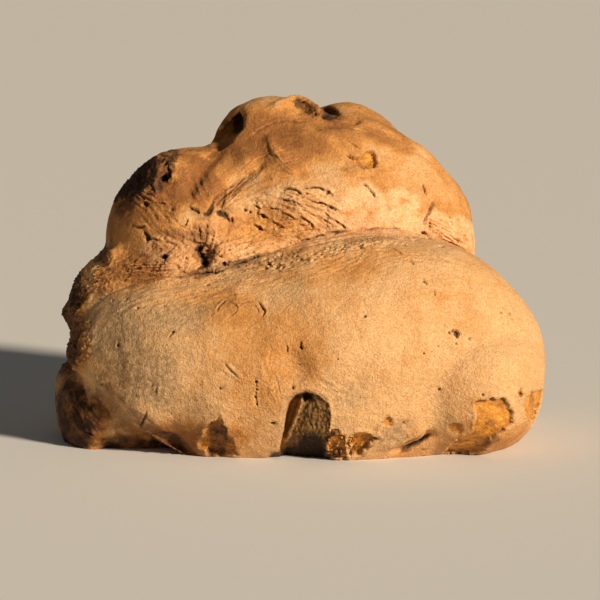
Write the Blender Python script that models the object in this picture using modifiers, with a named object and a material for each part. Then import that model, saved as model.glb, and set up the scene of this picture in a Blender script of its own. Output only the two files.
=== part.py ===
"""A tall folded loaf of durum wheat bread, the size that weighs one kilogram.

The dough is folded over itself: a long front fold lies low along the front, and the rear dough stands up
behind it in a hill with a left shoulder, a crest and a head. The loaf is one closed solid on a flat base.
The front fold faces -Y, +Z is up, and the origin is on the floor under the middle of the loaf's box.
"""

import math

import bmesh
import bpy
import numpy as np
from mathutils import Matrix, Vector, noise
from mathutils.bvhtree import BVHTree

LOAF_WIDTH = 0.250  # metres, left to right: the driving size, which every other size below follows
UNIT = LOAF_WIDTH / 250.0  # metres in one millimetre of the tables below, which hold a loaf 250 mm wide

VOXEL = 1.8  # grid that fuses the dough shapes
FINE_VOXEL = 1.2  # grid that evens out the skin again once creases and blisters are cut into it
TRIANGLES = 11500  # of the finished solid
BASE_TRIM = 0.4  # how far above the first cut the base is cut again, once the faces are fewer

# Each dough shape: middle (x, y, z), half sizes (x, y, height above the middle), depth below the middle,
# squareness (2 is an ellipsoid, more is boxier). The parts under the floor are cut off.
FRONT_FOLD = {"middle": (4, -32, 42), "half": (120, 66, 1), "below": 57, "square": 2.25}
FRONT_FOLD_HEIGHTS = [(-120, 54), (-85, 55), (-50, 51), (-25, 55), (10, 62), (55, 69), (80, 71), (125, 66)]
FRONT_FOLD_BULGE = [(-120, 0.90), (-60, 0.96), (-14, 0.95), (25, 1.02), (80, 0.98), (125, 0.92)]
FRONT_FOOT = {"middle": (84, -34, 34), "half": (40, 58, 34), "below": 38, "square": 2.4}

REAR_DOUGH = {
    "foot_left": {"middle": (-70, -10, 22), "half": (56, 60, 28), "below": 46, "square": 2.4},
    "foot_right": {"middle": (74, 14, 30), "half": (42, 48, 44), "below": 50, "square": 2.3},
    "base": {"middle": (-6, 18, 40), "half": (108, 78, 50), "below": 62, "square": 2.3},
    "flank": {"middle": (-14, 14, 63), "half": (107, 70, 48), "below": 60, "square": 2.15},
    "back": {"middle": (0, 46, 70), "half": (76, 44, 62), "below": 60, "square": 2.2},
    "shoulder": {"middle": (-52, 18, 102), "half": (48, 44, 44), "below": 50, "square": 2.0},
    "head": {"middle": (11, 22, 96), "half": (81, 48, 69), "below": 60, "square": 1.95},
    "crest": {"middle": (-13, 31, 126), "half": (34, 30, 46.5), "below": 50, "square": 2.5},
    "head_back": {"middle": (23, 44, 108), "half": (43, 38, 60.5), "below": 60, "square": 2.0},
    "knob_right": {"middle": (64, 44, 110), "half": (17, 20, 27), "below": 40, "square": 2.0},
}
DOUGH_BLEND = 8.0  # how far the shapes of one fold melt into each other
FOLD_BLEND = 2.5  # and the two folds, which only touch

# The front view looks at the loaf from a little above, and gives places on its skin as (x, h): millimetres
# to the right of the middle, and up the view from the line where the front stands on the floor.
FRONT_EYE_DISTANCE = 1500.0
FRONT_EYE_LIFT = math.radians(8.0)
FRONT_PLANE_Y = -28.0  # where a millimetre of the view is a millimetre of bread
FRONT_LINE = 10.5  # the plane's height, up the view, of the line h = 0
FRONT_AXIS = (0.8, 82.3)
ORTHO_DISTANCE = 400.0  # other views have parallel rays, which start this far from the loaf's middle


def clear_scene():
    for old in list(bpy.data.objects):
        bpy.data.objects.remove(old)


def smooth_between(table, values):
    """Smooth steps between the (place, value) pairs of a table."""
    places = np.array([row[0] for row in table], float)
    heights = np.array([row[1] for row in table], float)
    values = np.clip(values, places[0], places[-1])
    cell = np.clip(np.searchsorted(places, values) - 1, 0, len(places) - 2)
    share = (values - places[cell]) / (places[cell + 1] - places[cell])
    share = share * share * (3 - 2 * share)
    return heights[cell] * (1 - share) + heights[cell + 1] * share


def ease(values):
    """0 below 0, 1 above 1 and a smooth step between."""
    values = np.clip(values, 0, 1)
    return values * values * (3 - 2 * values)


def dough_shape(middle, half, below, square):
    """A boxy ellipsoid, from an icosphere, as a bmesh in design millimetres."""
    shape = bmesh.new()
    bmesh.ops.create_icosphere(shape, subdivisions=5, radius=1.0)
    for vert in shape.verts:
        out = vert.co.normalized()
        reach = sum(abs(c) ** square for c in out) ** (-1 / square)
        height = half[2] if out.z > 0 else below
        vert.co = Vector((out.x * half[0], out.y * half[1], out.z * height)) * reach
        vert.co += Vector(middle)
    return shape


def front_fold_shape():
    """The front fold: a boxy ellipsoid whose height and bulge change along its length."""
    shape = dough_shape(**FRONT_FOLD)
    middle = Vector(FRONT_FOLD["middle"])
    for vert in shape.verts:
        height = float(smooth_between(FRONT_FOLD_HEIGHTS, vert.co.x))
        bulge = float(smooth_between(FRONT_FOLD_BULGE, vert.co.x))
        if vert.co.z > middle.z:
            vert.co.z = middle.z + (vert.co.z - middle.z) * height
        if vert.co.y < middle.y:
            vert.co.y = middle.y + (vert.co.y - middle.y) * bulge
    return shape


def object_of(name, shapes):
    """One object in the scene that holds these bmeshes, in metres."""
    mesh = bpy.data.meshes.new(name)
    whole = bmesh.new()
    for shape in shapes:
        shape.to_mesh(mesh)
        shape.free()
        whole.from_mesh(mesh)
    bmesh.ops.scale(whole, vec=(UNIT, UNIT, UNIT), verts=whole.verts)
    whole.to_mesh(mesh)
    whole.free()
    obj = bpy.data.objects.new(name, mesh)
    bpy.context.scene.collection.objects.link(obj)
    return obj


def apply_modifiers(obj):
    graph = bpy.context.evaluated_depsgraph_get()
    mesh = bpy.data.meshes.new_from_object(obj.evaluated_get(graph))
    obj.modifiers.clear()
    old, obj.data = obj.data, mesh
    bpy.data.meshes.remove(old)


def fuse(obj, voxel, blend=0.0):
    """Makes one skin of the shapes in obj, and melts their meeting lines over about blend millimetres."""
    remesh = obj.modifiers.new("fuse", "REMESH")
    remesh.mode = "VOXEL"
    remesh.voxel_size = voxel * UNIT
    smooth = obj.modifiers.new("melt", "SMOOTH")
    smooth.factor = 0.5
    smooth.iterations = round(2 * (blend / voxel) ** 2)
    apply_modifiers(obj)


def tree_of(obj):
    """A search tree of obj's faces, in design millimetres."""
    points = [vert.co / UNIT for vert in obj.data.vertices]
    return BVHTree.FromPolygons(points, [tuple(face.vertices) for face in obj.data.polygons])


class Skin:
    """The loaf's skin as arrays in design millimetres, with the tools that shape it."""

    def __init__(self, obj, front, rear):
        self.obj = obj
        self.tree = tree_of(obj)
        self.read()
        to_front = np.array([front.find_nearest(Vector(p))[3] for p in self.points])
        to_rear = np.array([rear.find_nearest(Vector(p))[3] for p in self.points])
        self.to_seam = np.maximum(to_front, to_rear)
        self.on_front = to_front < to_rear

    def read(self):
        count = len(self.obj.data.vertices)
        points = np.empty(count * 3, np.float32)
        normals = np.empty(count * 3, np.float32)
        self.obj.data.vertices.foreach_get("co", points)
        self.obj.data.vertex_normals.foreach_get("vector", normals)
        self.points = points.reshape(-1, 3).astype(float) / UNIT
        self.normals = normals.reshape(-1, 3).astype(float)

    def push(self, amounts):
        """Moves each vertex out along its normal by its amount, in millimetres."""
        self.points += self.normals * np.asarray(amounts)[:, None]
        self.obj.data.vertices.foreach_set("co", (self.points * UNIT).astype(np.float32).ravel())
        self.obj.data.update()
        self.read()

    def wavy(self, size, seed, octaves=3):
        """Fractal noise from about -1 to 1, with waves of this size in millimetres."""
        shift = Vector((seed * 17.3, seed * 9.1, seed * 5.7))
        return np.array([noise.fractal(Vector(p) / size + shift, 1.0, 2.0, octaves) for p in self.points])

    def seen(self, view):
        """Each vertex's (x, h) in a view, and whether its skin faces that view."""
        right, up, back = view_axes(view)
        if view != "front":
            return np.stack([self.points @ right, self.points @ up], 1), self.normals @ back > 0.05
        eye = front_eye()
        rays = self.points - eye
        depth = -(rays @ back)
        scale = FRONT_EYE_DISTANCE / depth
        flat = np.stack([rays @ right * scale + FRONT_AXIS[0], rays @ up * scale + FRONT_AXIS[1]], 1)
        facing = (self.normals * -rays).sum(1) > 0.05 * depth
        return flat, facing

    def place(self, view, x, h):
        """The point of the skin that a view shows at (x, h), or the skin's nearest to it just past the outline."""
        right, up, back = view_axes(view)
        if view == "front":
            eye = front_eye()
            aim = right * (x - FRONT_AXIS[0]) + up * (h - FRONT_AXIS[1]) - back * FRONT_EYE_DISTANCE
        else:
            aim = -back * ORTHO_DISTANCE
            eye = right * x + up * h - aim
        hit = self.tree.ray_cast(Vector(eye), Vector(aim).normalized())[0]
        return np.array(hit or self.tree.find_nearest(Vector(eye + aim))[0])

    def path(self, view, corners, step=2.0):
        """Points on the skin along a smooth line through the corners, which are (x, h) in a view."""
        corners = [np.array(c, float) for c in corners]
        ends = [2 * corners[0] - corners[1], *corners, 2 * corners[-1] - corners[-2]]
        found = []
        for a, b, c, d in zip(ends, ends[1:], ends[2:], ends[3:]):
            pieces = max(1, round(float(np.linalg.norm(c - b)) / step))
            for share in np.arange(pieces) / pieces:
                near = b + 0.5 * share * (c - a + share * (2 * a - 5 * b + 4 * c - d + share * (3 * (b - c) + d - a)))
                found.append(self.place(view, *near))
        found.append(self.place(view, *corners[-1]))
        return np.array(found)

    def from_path(self, path, reach, ragged=None):
        """For the vertices within reach of a path: their numbers, distance, share along it and side."""
        near = np.nonzero(((self.points > path.min(0) - reach) & (self.points < path.max(0) + reach)).all(1))[0]
        points = self.points[near] if ragged is None else self.points[near] + ragged[near]
        distance = np.full(len(near), 1e9)
        share = np.zeros(len(near))
        side = np.zeros(len(near))
        for i in range(len(path) - 1):
            line = path[i + 1] - path[i]
            length = max(float(line @ line), 1e-9)
            along = np.clip((points - path[i]) @ line / length, 0, 1)
            gap = points - path[i] - along[:, None] * line
            apart = np.linalg.norm(gap, axis=1)
            closer = apart < distance
            across = np.cross(self.normals[near], line)
            side = np.where(closer, np.sign((gap * across).sum(1)), side)
            share = np.where(closer, (i + along) / (len(path) - 1), share)
            distance = np.minimum(distance, apart)
        inside = distance < reach
        return near[inside], distance[inside], share[inside], side[inside]


def view_axes(view):
    """Right, up and towards the eye. A view is "front" or (azimuth, lift) in degrees: 0 looks along +Y."""
    turn, lift = (0.0, FRONT_EYE_LIFT) if view == "front" else map(math.radians, view)
    right = np.array([math.cos(turn), math.sin(turn), 0.0])
    back = np.array([math.sin(turn) * math.cos(lift), -math.cos(turn) * math.cos(lift), math.sin(lift)])
    return right, np.cross(back, right), back


def front_eye():
    right, up, back = view_axes("front")
    middle = np.array([0, FRONT_PLANE_Y, 0]) + right * FRONT_AXIS[0] + up * (FRONT_AXIS[1] - FRONT_LINE)
    return middle + back * FRONT_EYE_DISTANCE


def taper(share, ends=0.18):
    """Fades a stroke out at both ends of its path."""
    return ease(share / ends) * ease((1 - share) / ends)


def stroke(skin, view, corners, width, depth, lip=0.0):
    """A crease along a path, or a ridge where depth is below 0. A lip raises the left side of the crease."""
    path = skin.path(view, corners)
    index, distance, share, side = skin.from_path(path, width * 2.5)
    fall = np.exp(-((distance / (0.6 * width)) ** 2)) * taper(share)
    amounts = np.zeros(len(skin.points))
    amounts[index] = -depth * fall
    if lip:
        raised = np.exp(-(((distance - 0.9 * width) / (0.7 * width)) ** 2)) * (side > 0)
        amounts[index] += lip * raised * taper(share)
    skin.push(amounts)


def patch(skin, view, middle, half, turn, depth, edge=2.0, ragged=0.18, seed=1):
    """A sunken scab, such as a burst blister: an ellipse in a view with a ragged rim and a floor below it."""
    flat, facing = skin.seen(view)
    shift = flat - np.array(middle)
    angle = math.radians(turn)
    along = (shift[:, 0] * math.cos(angle) + shift[:, 1] * math.sin(angle)) / half[0]
    across = (-shift[:, 0] * math.sin(angle) + shift[:, 1] * math.cos(angle)) / half[1]
    radius = np.hypot(along, across)
    near = np.nonzero((radius < 1.8) & facing)[0]
    rough = np.array([noise.noise(Vector(skin.points[i]) / 5.0 + Vector((seed * 3.7, 0, 0))) for i in near])
    rim = (1 - radius[near] + ragged * rough) * min(half) / edge
    amounts = np.zeros(len(skin.points))
    amounts[near] = -depth * ease(rim + 0.5)
    skin.push(amounts)


def dent(skin, view, middle, radius, depth):
    """A soft round hollow, or a swelling where depth is below 0."""
    at = skin.place(view, *middle)
    distance = np.linalg.norm(skin.points - at, axis=1)
    skin.push(-depth * np.exp(-((distance / radius) ** 2)))


def shape_fold_seam(skin):
    """The deep line all round the loaf where the front fold lies against the rear dough."""
    near = np.exp(-((skin.to_seam / 4.0) ** 2))
    rim = np.exp(-(((skin.to_seam - 7.0) / 4.0) ** 2)) * skin.on_front
    skin.push(-5.0 * near + 1.6 * rim)


def shape_head(skin):
    """The crest, the shoulder's burnt ridge and the soft valleys that fan up from the crease knot."""
    stroke(skin, "front", [(-68, 159), (-71, 151), (-72, 143), (-78, 137), (-88, 131)], 6, -3.6)
    dent(skin, "front", (-86, 141), 11, 4.5)
    dent(skin, "front", (-67, 158), 6, -4.2)
    stroke(skin, "front", [(-41, 160), (-47, 151), (-54, 142), (-58, 134)], 10, 2.2)
    stroke(skin, "front", [(-46, 128), (-38, 136), (-28, 145), (-16, 154)], 6, 2.4, lip=0.8)
    stroke(skin, "front", [(-17, 168), (-12, 158), (-6, 150), (2, 146)], 7, -1.2)
    patch(skin, "front", (-35, 170), (13, 6.5), 52, 9.0, edge=5.0)
    stroke(skin, "front", [(-16, 180), (-8, 183), (-1, 185), (6, 181), (13, 175)], 5, -3.8)
    stroke(skin, "front", [(9, 182), (15, 180), (22, 176), (33, 174)], 4.5, 4.5)
    dent(skin, "front", (-118, 76), 5, -3.5)
    dent(skin, "front", (-102, 113), 5, -4.0)
    stroke(skin, "front", [(61, 160), (70, 152), (78, 140)], 4, 1.6)


def shape_torn_band(skin):
    """The torn dough between the folds: the crease knot, flaps, pits and the crack on the right."""
    stroke(skin, "front", [(-60, 129), (-50, 126.5), (-44, 129), (-38, 127), (-32, 122)], 4, 4.0, lip=1.4)
    stroke(skin, "front", [(-97, 120), (-88, 127), (-78, 131), (-64, 130)], 4, 2.2, lip=1.0)
    stroke(skin, "front", [(-12, 136), (-4, 138.5), (8, 139), (17, 137)], 3.5, 1.6, lip=1.0)
    stroke(skin, "front", [(-10, 134), (0, 131.5), (5, 129)], 3, 1.3, lip=0.6)
    stroke(skin, "front", [(6, 133), (13, 131), (20, 128)], 3, 1.3, lip=0.6)
    stroke(skin, "front", [(0, 125), (6, 121), (11, 117)], 3, 1.3, lip=0.6)
    stroke(skin, "front", [(31, 142), (37, 138), (41, 132)], 3, 1.4, lip=0.6)
    stroke(skin, "front", [(69, 135), (67, 127), (66, 120), (68, 113)], 3.5, 2.6, lip=0.6)
    stroke(skin, "front", [(-86, 118), (-79, 118), (-74, 113), (-62, 110)], 3.5, 2.2, lip=0.8)
    patch(skin, "front", (-49, 104), (9, 6), -55, 6.0, edge=3.5, ragged=0.5, seed=5)
    patch(skin, "front", (-13, 101), (5, 3), 20, 3.0, edge=2.5, ragged=0.5, seed=6)
    for row in range(4):
        lift = 4.0 * row
        stroke(skin, "front", [(-109, 80 + lift), (-103, 87 + lift), (-95, 92 + 0.8 * lift)], 2.6, 2.2)
    flat, facing = skin.seen("front")
    band = ease((skin.to_seam - 1) / 5) * ~skin.on_front * facing
    band *= ease((132 + 0.12 * flat[:, 0] - flat[:, 1]) / 6) * ease((68 - flat[:, 0]) / 10)
    skin.push(band * (1.3 * skin.wavy(6.5, 2) + 0.5 * skin.wavy(3.5, 3)) * (0.5 + 0.5 * ease((20 - flat[:, 0]) / 30)))


def shape_front_fold(skin):
    """The hollow under the front fold, the burst blisters along its foot and the soft swellings above."""
    stroke(skin, "front", [(-6, 60), (-2, 48), (2, 38)], 13, 2.2)
    dent(skin, "front", (-14, 50), 16, -1.6)
    dent(skin, "front", (20, 56), 20, -1.2)
    patch(skin, "front", (5, 17), (19, 11), 84, 10.0, edge=5.0)
    stroke(skin, "front", [(-7, 8), (-5.5, 18), (-3, 27), (1, 33)], 3.0, 6.0, lip=0.8)
    dent(skin, "front", (6, 20), 9, -5.5)
    patch(skin, "front", (-42, 12), (11, 8), 60, 4.2, edge=2.4, seed=2)
    patch(skin, "front", (20, 8), (7, 5), 100, 3.0, edge=2.4, seed=3)
    patch(skin, "front", (32, 8.5), (9, 5.5), 20, 4.0, edge=2.4, seed=4)
    patch(skin, "front", (102, 22), (11, 9.5), 60, 1.6, edge=1.6, seed=7)
    patch(skin, "front", (88, 7.5), (15, 4.5), 25, 3.0, edge=2.4, seed=8)
    patch(skin, "front", (121, 25), (4.5, 11), 8, 1.6, edge=1.6, seed=9)
    stroke(skin, "front", [(50, 5), (58, 10), (69, 15)], 4.0, 3.2, lip=1.0)
    patch(skin, "front", (34, 154), (8, 4.5), -12, 2.6, edge=1.6, seed=10)


def shape_back(skin):
    """The back of the rear dough, kept plain: soft hollows, one long crease and two burst blisters."""
    stroke(skin, (180, 10), [(-20, 150), (-16, 128), (-22, 104), (-34, 84)], 13, 2.6)
    stroke(skin, (180, 10), [(46, 118), (52, 98), (50, 76), (58, 58)], 12, 2.2)
    stroke(skin, (180, 10), [(-92, 62), (-64, 54), (-30, 50), (4, 44), (38, 46)], 4.5, 3.0, lip=1.2)
    patch(skin, (180, 5), (-52, 18), (12, 6), 15, 2.6, edge=2.4, seed=11)
    patch(skin, (120, 5), (18, 20), (9, 6), 20, 2.4, edge=2.4, seed=13)


def finish_skin(skin):
    """Slow swellings all over, as no loaf is even."""
    skin.push(1.3 * skin.wavy(42, 1, octaves=2))


def cut_base(mesh, height):
    """Cuts the loaf flat at this height above the floor, in design millimetres."""
    shape = bmesh.new()
    shape.from_mesh(mesh)
    bmesh.ops.bisect_plane(
        shape,
        geom=shape.verts[:] + shape.edges[:] + shape.faces[:],
        plane_co=(0, 0, height * UNIT),
        plane_no=(0, 0, -1),
        clear_outer=True,
    )
    bmesh.ops.holes_fill(shape, edges=[edge for edge in shape.edges if edge.is_boundary])
    bmesh.ops.triangulate(shape, faces=shape.faces)
    shape.to_mesh(mesh)
    shape.free()


def crust_material():
    material = bpy.data.materials.new("crust")
    material.use_nodes = True
    shader = material.node_tree.nodes["Principled BSDF"]
    shader.inputs["Base Color"].default_value = (0.52, 0.27, 0.09, 1)
    shader.inputs["Roughness"].default_value = 0.8
    shader.inputs["Metallic"].default_value = 0.0
    return material


def centre_on_floor(obj):
    """Moves the loaf so that the origin is on the floor under the middle of its box."""
    corners = np.array([vert.co for vert in obj.data.vertices])
    low, high = corners.min(0), corners.max(0)
    shift = Vector((-(low[0] + high[0]) / 2, -(low[1] + high[1]) / 2, -low[2]))
    obj.data.transform(Matrix.Translation(shift))


def build_loaf():
    front = object_of("front_fold", [front_fold_shape(), dough_shape(**FRONT_FOOT)])
    rear = object_of("rear_dough", [dough_shape(**shape) for shape in REAR_DOUGH.values()])
    fuse(front, VOXEL, DOUGH_BLEND / 2)
    fuse(rear, VOXEL, DOUGH_BLEND)
    front_tree, rear_tree = tree_of(front), tree_of(rear)
    whole = bmesh.new()
    whole.from_mesh(front.data)
    whole.from_mesh(rear.data)
    bmesh.ops.scale(whole, vec=(1 / UNIT, 1 / UNIT, 1 / UNIT), verts=whole.verts)
    loaf = object_of("loaf", [whole])
    for helper in (front, rear):
        bpy.data.objects.remove(helper)
    fuse(loaf, VOXEL, FOLD_BLEND)

    skin = Skin(loaf, front_tree, rear_tree)
    finish_skin(skin)
    shape_fold_seam(skin)
    shape_head(skin)
    shape_torn_band(skin)
    shape_front_fold(skin)
    shape_back(skin)
    fuse(loaf, FINE_VOXEL)

    cut_base(loaf.data, 0)
    thin = loaf.modifiers.new("fewer_faces", "DECIMATE")
    thin.ratio = TRIANGLES / len(loaf.data.polygons)
    apply_modifiers(loaf)
    cut_base(loaf.data, BASE_TRIM)
    centre_on_floor(loaf)
    loaf.data.materials.append(crust_material())
    loaf.data.shade_smooth()
    return loaf


def main():
    clear_scene()
    collection = bpy.data.collections.new("loaf")
    bpy.context.scene.collection.children.link(collection)
    loaf = build_loaf()
    bpy.context.scene.collection.objects.unlink(loaf)
    collection.objects.link(loaf)


main()
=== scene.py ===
# Matera bread: a tall loaf of durum wheat dough folded over itself, on a plain pale floor.
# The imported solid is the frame. The script grows the same dough again in finer detail, then tears,
# blisters, flours and browns its crust.
import math

import bmesh
import bpy
import numpy as np
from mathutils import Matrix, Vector, kdtree, noise
from mathutils.bvhtree import BVHTree


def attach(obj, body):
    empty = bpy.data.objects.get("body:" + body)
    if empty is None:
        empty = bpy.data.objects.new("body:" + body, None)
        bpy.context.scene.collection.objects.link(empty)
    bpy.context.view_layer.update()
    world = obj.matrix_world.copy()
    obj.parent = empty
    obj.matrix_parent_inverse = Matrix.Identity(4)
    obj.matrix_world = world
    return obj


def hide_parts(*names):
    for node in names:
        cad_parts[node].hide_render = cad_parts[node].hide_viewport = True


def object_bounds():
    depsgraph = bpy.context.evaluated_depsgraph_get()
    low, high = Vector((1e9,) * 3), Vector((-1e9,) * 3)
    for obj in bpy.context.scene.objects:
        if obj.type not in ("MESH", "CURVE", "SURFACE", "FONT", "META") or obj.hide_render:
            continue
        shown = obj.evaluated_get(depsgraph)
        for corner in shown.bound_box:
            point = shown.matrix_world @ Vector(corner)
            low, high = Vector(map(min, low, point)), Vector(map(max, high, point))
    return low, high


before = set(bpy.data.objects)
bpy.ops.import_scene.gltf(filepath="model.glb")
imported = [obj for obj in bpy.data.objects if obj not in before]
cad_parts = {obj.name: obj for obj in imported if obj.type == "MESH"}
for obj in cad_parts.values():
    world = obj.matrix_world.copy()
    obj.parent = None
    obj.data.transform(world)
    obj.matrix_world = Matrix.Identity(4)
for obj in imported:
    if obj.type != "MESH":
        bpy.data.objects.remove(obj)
cadBox = [list(corner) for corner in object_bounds()]
mm = 0.001
noise.seed_set(1)  # without a seed noise_vector follows the clock, and each run gives other ragged edges

# The loaf, in millimetres. What its solid is made of comes first, then what only the crust shows.
# A dough shape is its middle, half sizes, depth below the middle and squareness (2 is an ellipsoid).
loaf = {
    "frontFold": [
        {"middle": (4, -32, 42), "half": (120, 66, 1), "below": 57, "square": 2.25},
        {"middle": (84, -34, 34), "half": (40, 58, 34), "below": 38, "square": 2.4},
    ],
    "foldHeights": [(-120, 54), (-85, 55), (-50, 51), (-25, 55), (10, 62), (55, 69), (80, 71), (125, 66)],
    "foldBulge": [(-120, 0.90), (-60, 0.96), (-14, 0.95), (25, 1.02), (80, 0.98), (125, 0.92)],
    "rearDough": [
        {"middle": (-70, -10, 22), "half": (56, 60, 28), "below": 46, "square": 2.4},
        {"middle": (74, 14, 30), "half": (42, 48, 44), "below": 50, "square": 2.3},
        {"middle": (-6, 18, 40), "half": (108, 78, 50), "below": 62, "square": 2.3},
        {"middle": (-14, 14, 63), "half": (107, 70, 48), "below": 60, "square": 2.15},
        {"middle": (0, 46, 70), "half": (76, 44, 62), "below": 60, "square": 2.2},
        {"middle": (-52, 18, 102), "half": (48, 44, 44), "below": 50, "square": 2.0},
        {"middle": (11, 22, 96), "half": (81, 48, 69), "below": 60, "square": 1.95},
        {"middle": (-13, 31, 126), "half": (34, 30, 46.5), "below": 50, "square": 2.5},
        {"middle": (23, 44, 108), "half": (43, 38, 60.5), "below": 60, "square": 2.0},
        {"middle": (64, 44, 110), "half": (17, 20, 27), "below": 40, "square": 2.0},
    ],
    "voxel": 1.8,  # grid that fuses the dough shapes
    "fineVoxel": 0.85,  # grid that carries the crust's own relief
    "doughBlend": 8.0,
    "foldBlend": 2.5,
    "triangles": 194000,
}

# The photograph's view of the loaf. Places on the crust are (x, h) in it: millimetres right of the
# middle, and up the view from the line where the front stands.
photoView = {
    "lift": math.radians(8),
    "distance": 1500.0,
    "planeY": -28.0,  # where a millimetre of the view is a millimetre of bread
    "line": 10.5,
    "axis": (0.8, 82.3),
    "imageWidth": 306.7,  # millimetres across the picture
}


def smoothBetween(table, values):
    places = np.array([row[0] for row in table], float)
    heights = np.array([row[1] for row in table], float)
    values = np.clip(values, places[0], places[-1])
    cell = np.clip(np.searchsorted(places, values) - 1, 0, len(places) - 2)
    share = (values - places[cell]) / (places[cell + 1] - places[cell])
    share = share * share * (3 - 2 * share)
    return heights[cell] * (1 - share) + heights[cell + 1] * share


def ease(values):
    values = np.clip(values, 0, 1)
    return values * values * (3 - 2 * values)


def makeDoughShape(middle, half, below, square):
    shape = bmesh.new()
    bmesh.ops.create_icosphere(shape, subdivisions=5, radius=1.0)
    for vert in shape.verts:
        out = vert.co.normalized()
        reach = sum(abs(c) ** square for c in out) ** (-1 / square)
        height = half[2] if out.z > 0 else below
        vert.co = Vector((out.x * half[0], out.y * half[1], out.z * height)) * reach + Vector(middle)
    return shape


def swellFrontFold(shape, middle):
    # the fold's height and bulge change along its length
    for vert in shape.verts:
        if vert.co.z > middle[2]:
            height = float(smoothBetween(loaf["foldHeights"], vert.co.x))
            vert.co.z = middle[2] + (vert.co.z - middle[2]) * height
        if vert.co.y < middle[1]:
            bulge = float(smoothBetween(loaf["foldBulge"], vert.co.x))
            vert.co.y = middle[1] + (vert.co.y - middle[1]) * bulge


def makeObject(name, shapes):
    mesh = bpy.data.meshes.new(name)
    whole = bmesh.new()
    for shape in shapes:
        shape.to_mesh(mesh)
        shape.free()
        whole.from_mesh(mesh)
    whole.to_mesh(mesh)
    whole.free()
    obj = bpy.data.objects.new(name, mesh)
    bpy.context.scene.collection.objects.link(obj)
    return obj


def applyModifiers(obj):
    graph = bpy.context.evaluated_depsgraph_get()
    mesh = bpy.data.meshes.new_from_object(obj.evaluated_get(graph))
    obj.modifiers.clear()
    old, obj.data = obj.data, mesh
    bpy.data.meshes.remove(old)


def fuse(obj, voxel, blend=0.0):
    remesh = obj.modifiers.new("fuse", "REMESH")
    remesh.mode = "VOXEL"
    remesh.voxel_size = voxel
    smooth = obj.modifiers.new("melt", "SMOOTH")
    smooth.factor = 0.5
    smooth.iterations = round(2 * (blend / voxel) ** 2)
    applyModifiers(obj)


def treeOf(obj):
    points = [vert.co for vert in obj.data.vertices]
    return BVHTree.FromPolygons(points, [tuple(face.vertices) for face in obj.data.polygons])


def viewAxes(view):
    # right, up and towards the eye; a view is "photo" or (azimuth, lift) in degrees, and 0 looks along +Y
    turn, lift = (0.0, photoView["lift"]) if view == "photo" else map(math.radians, view)
    right = np.array([math.cos(turn), math.sin(turn), 0.0])
    back = np.array([math.sin(turn) * math.cos(lift), -math.cos(turn) * math.cos(lift), math.sin(lift)])
    return right, np.cross(back, right), back


def photoEye():
    right, up, back = viewAxes("photo")
    acrossMm, upMm = photoView["axis"]
    middle = np.array([0, photoView["planeY"], 0]) + right * acrossMm + up * (upMm - photoView["line"])
    return middle + back * photoView["distance"]


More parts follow.
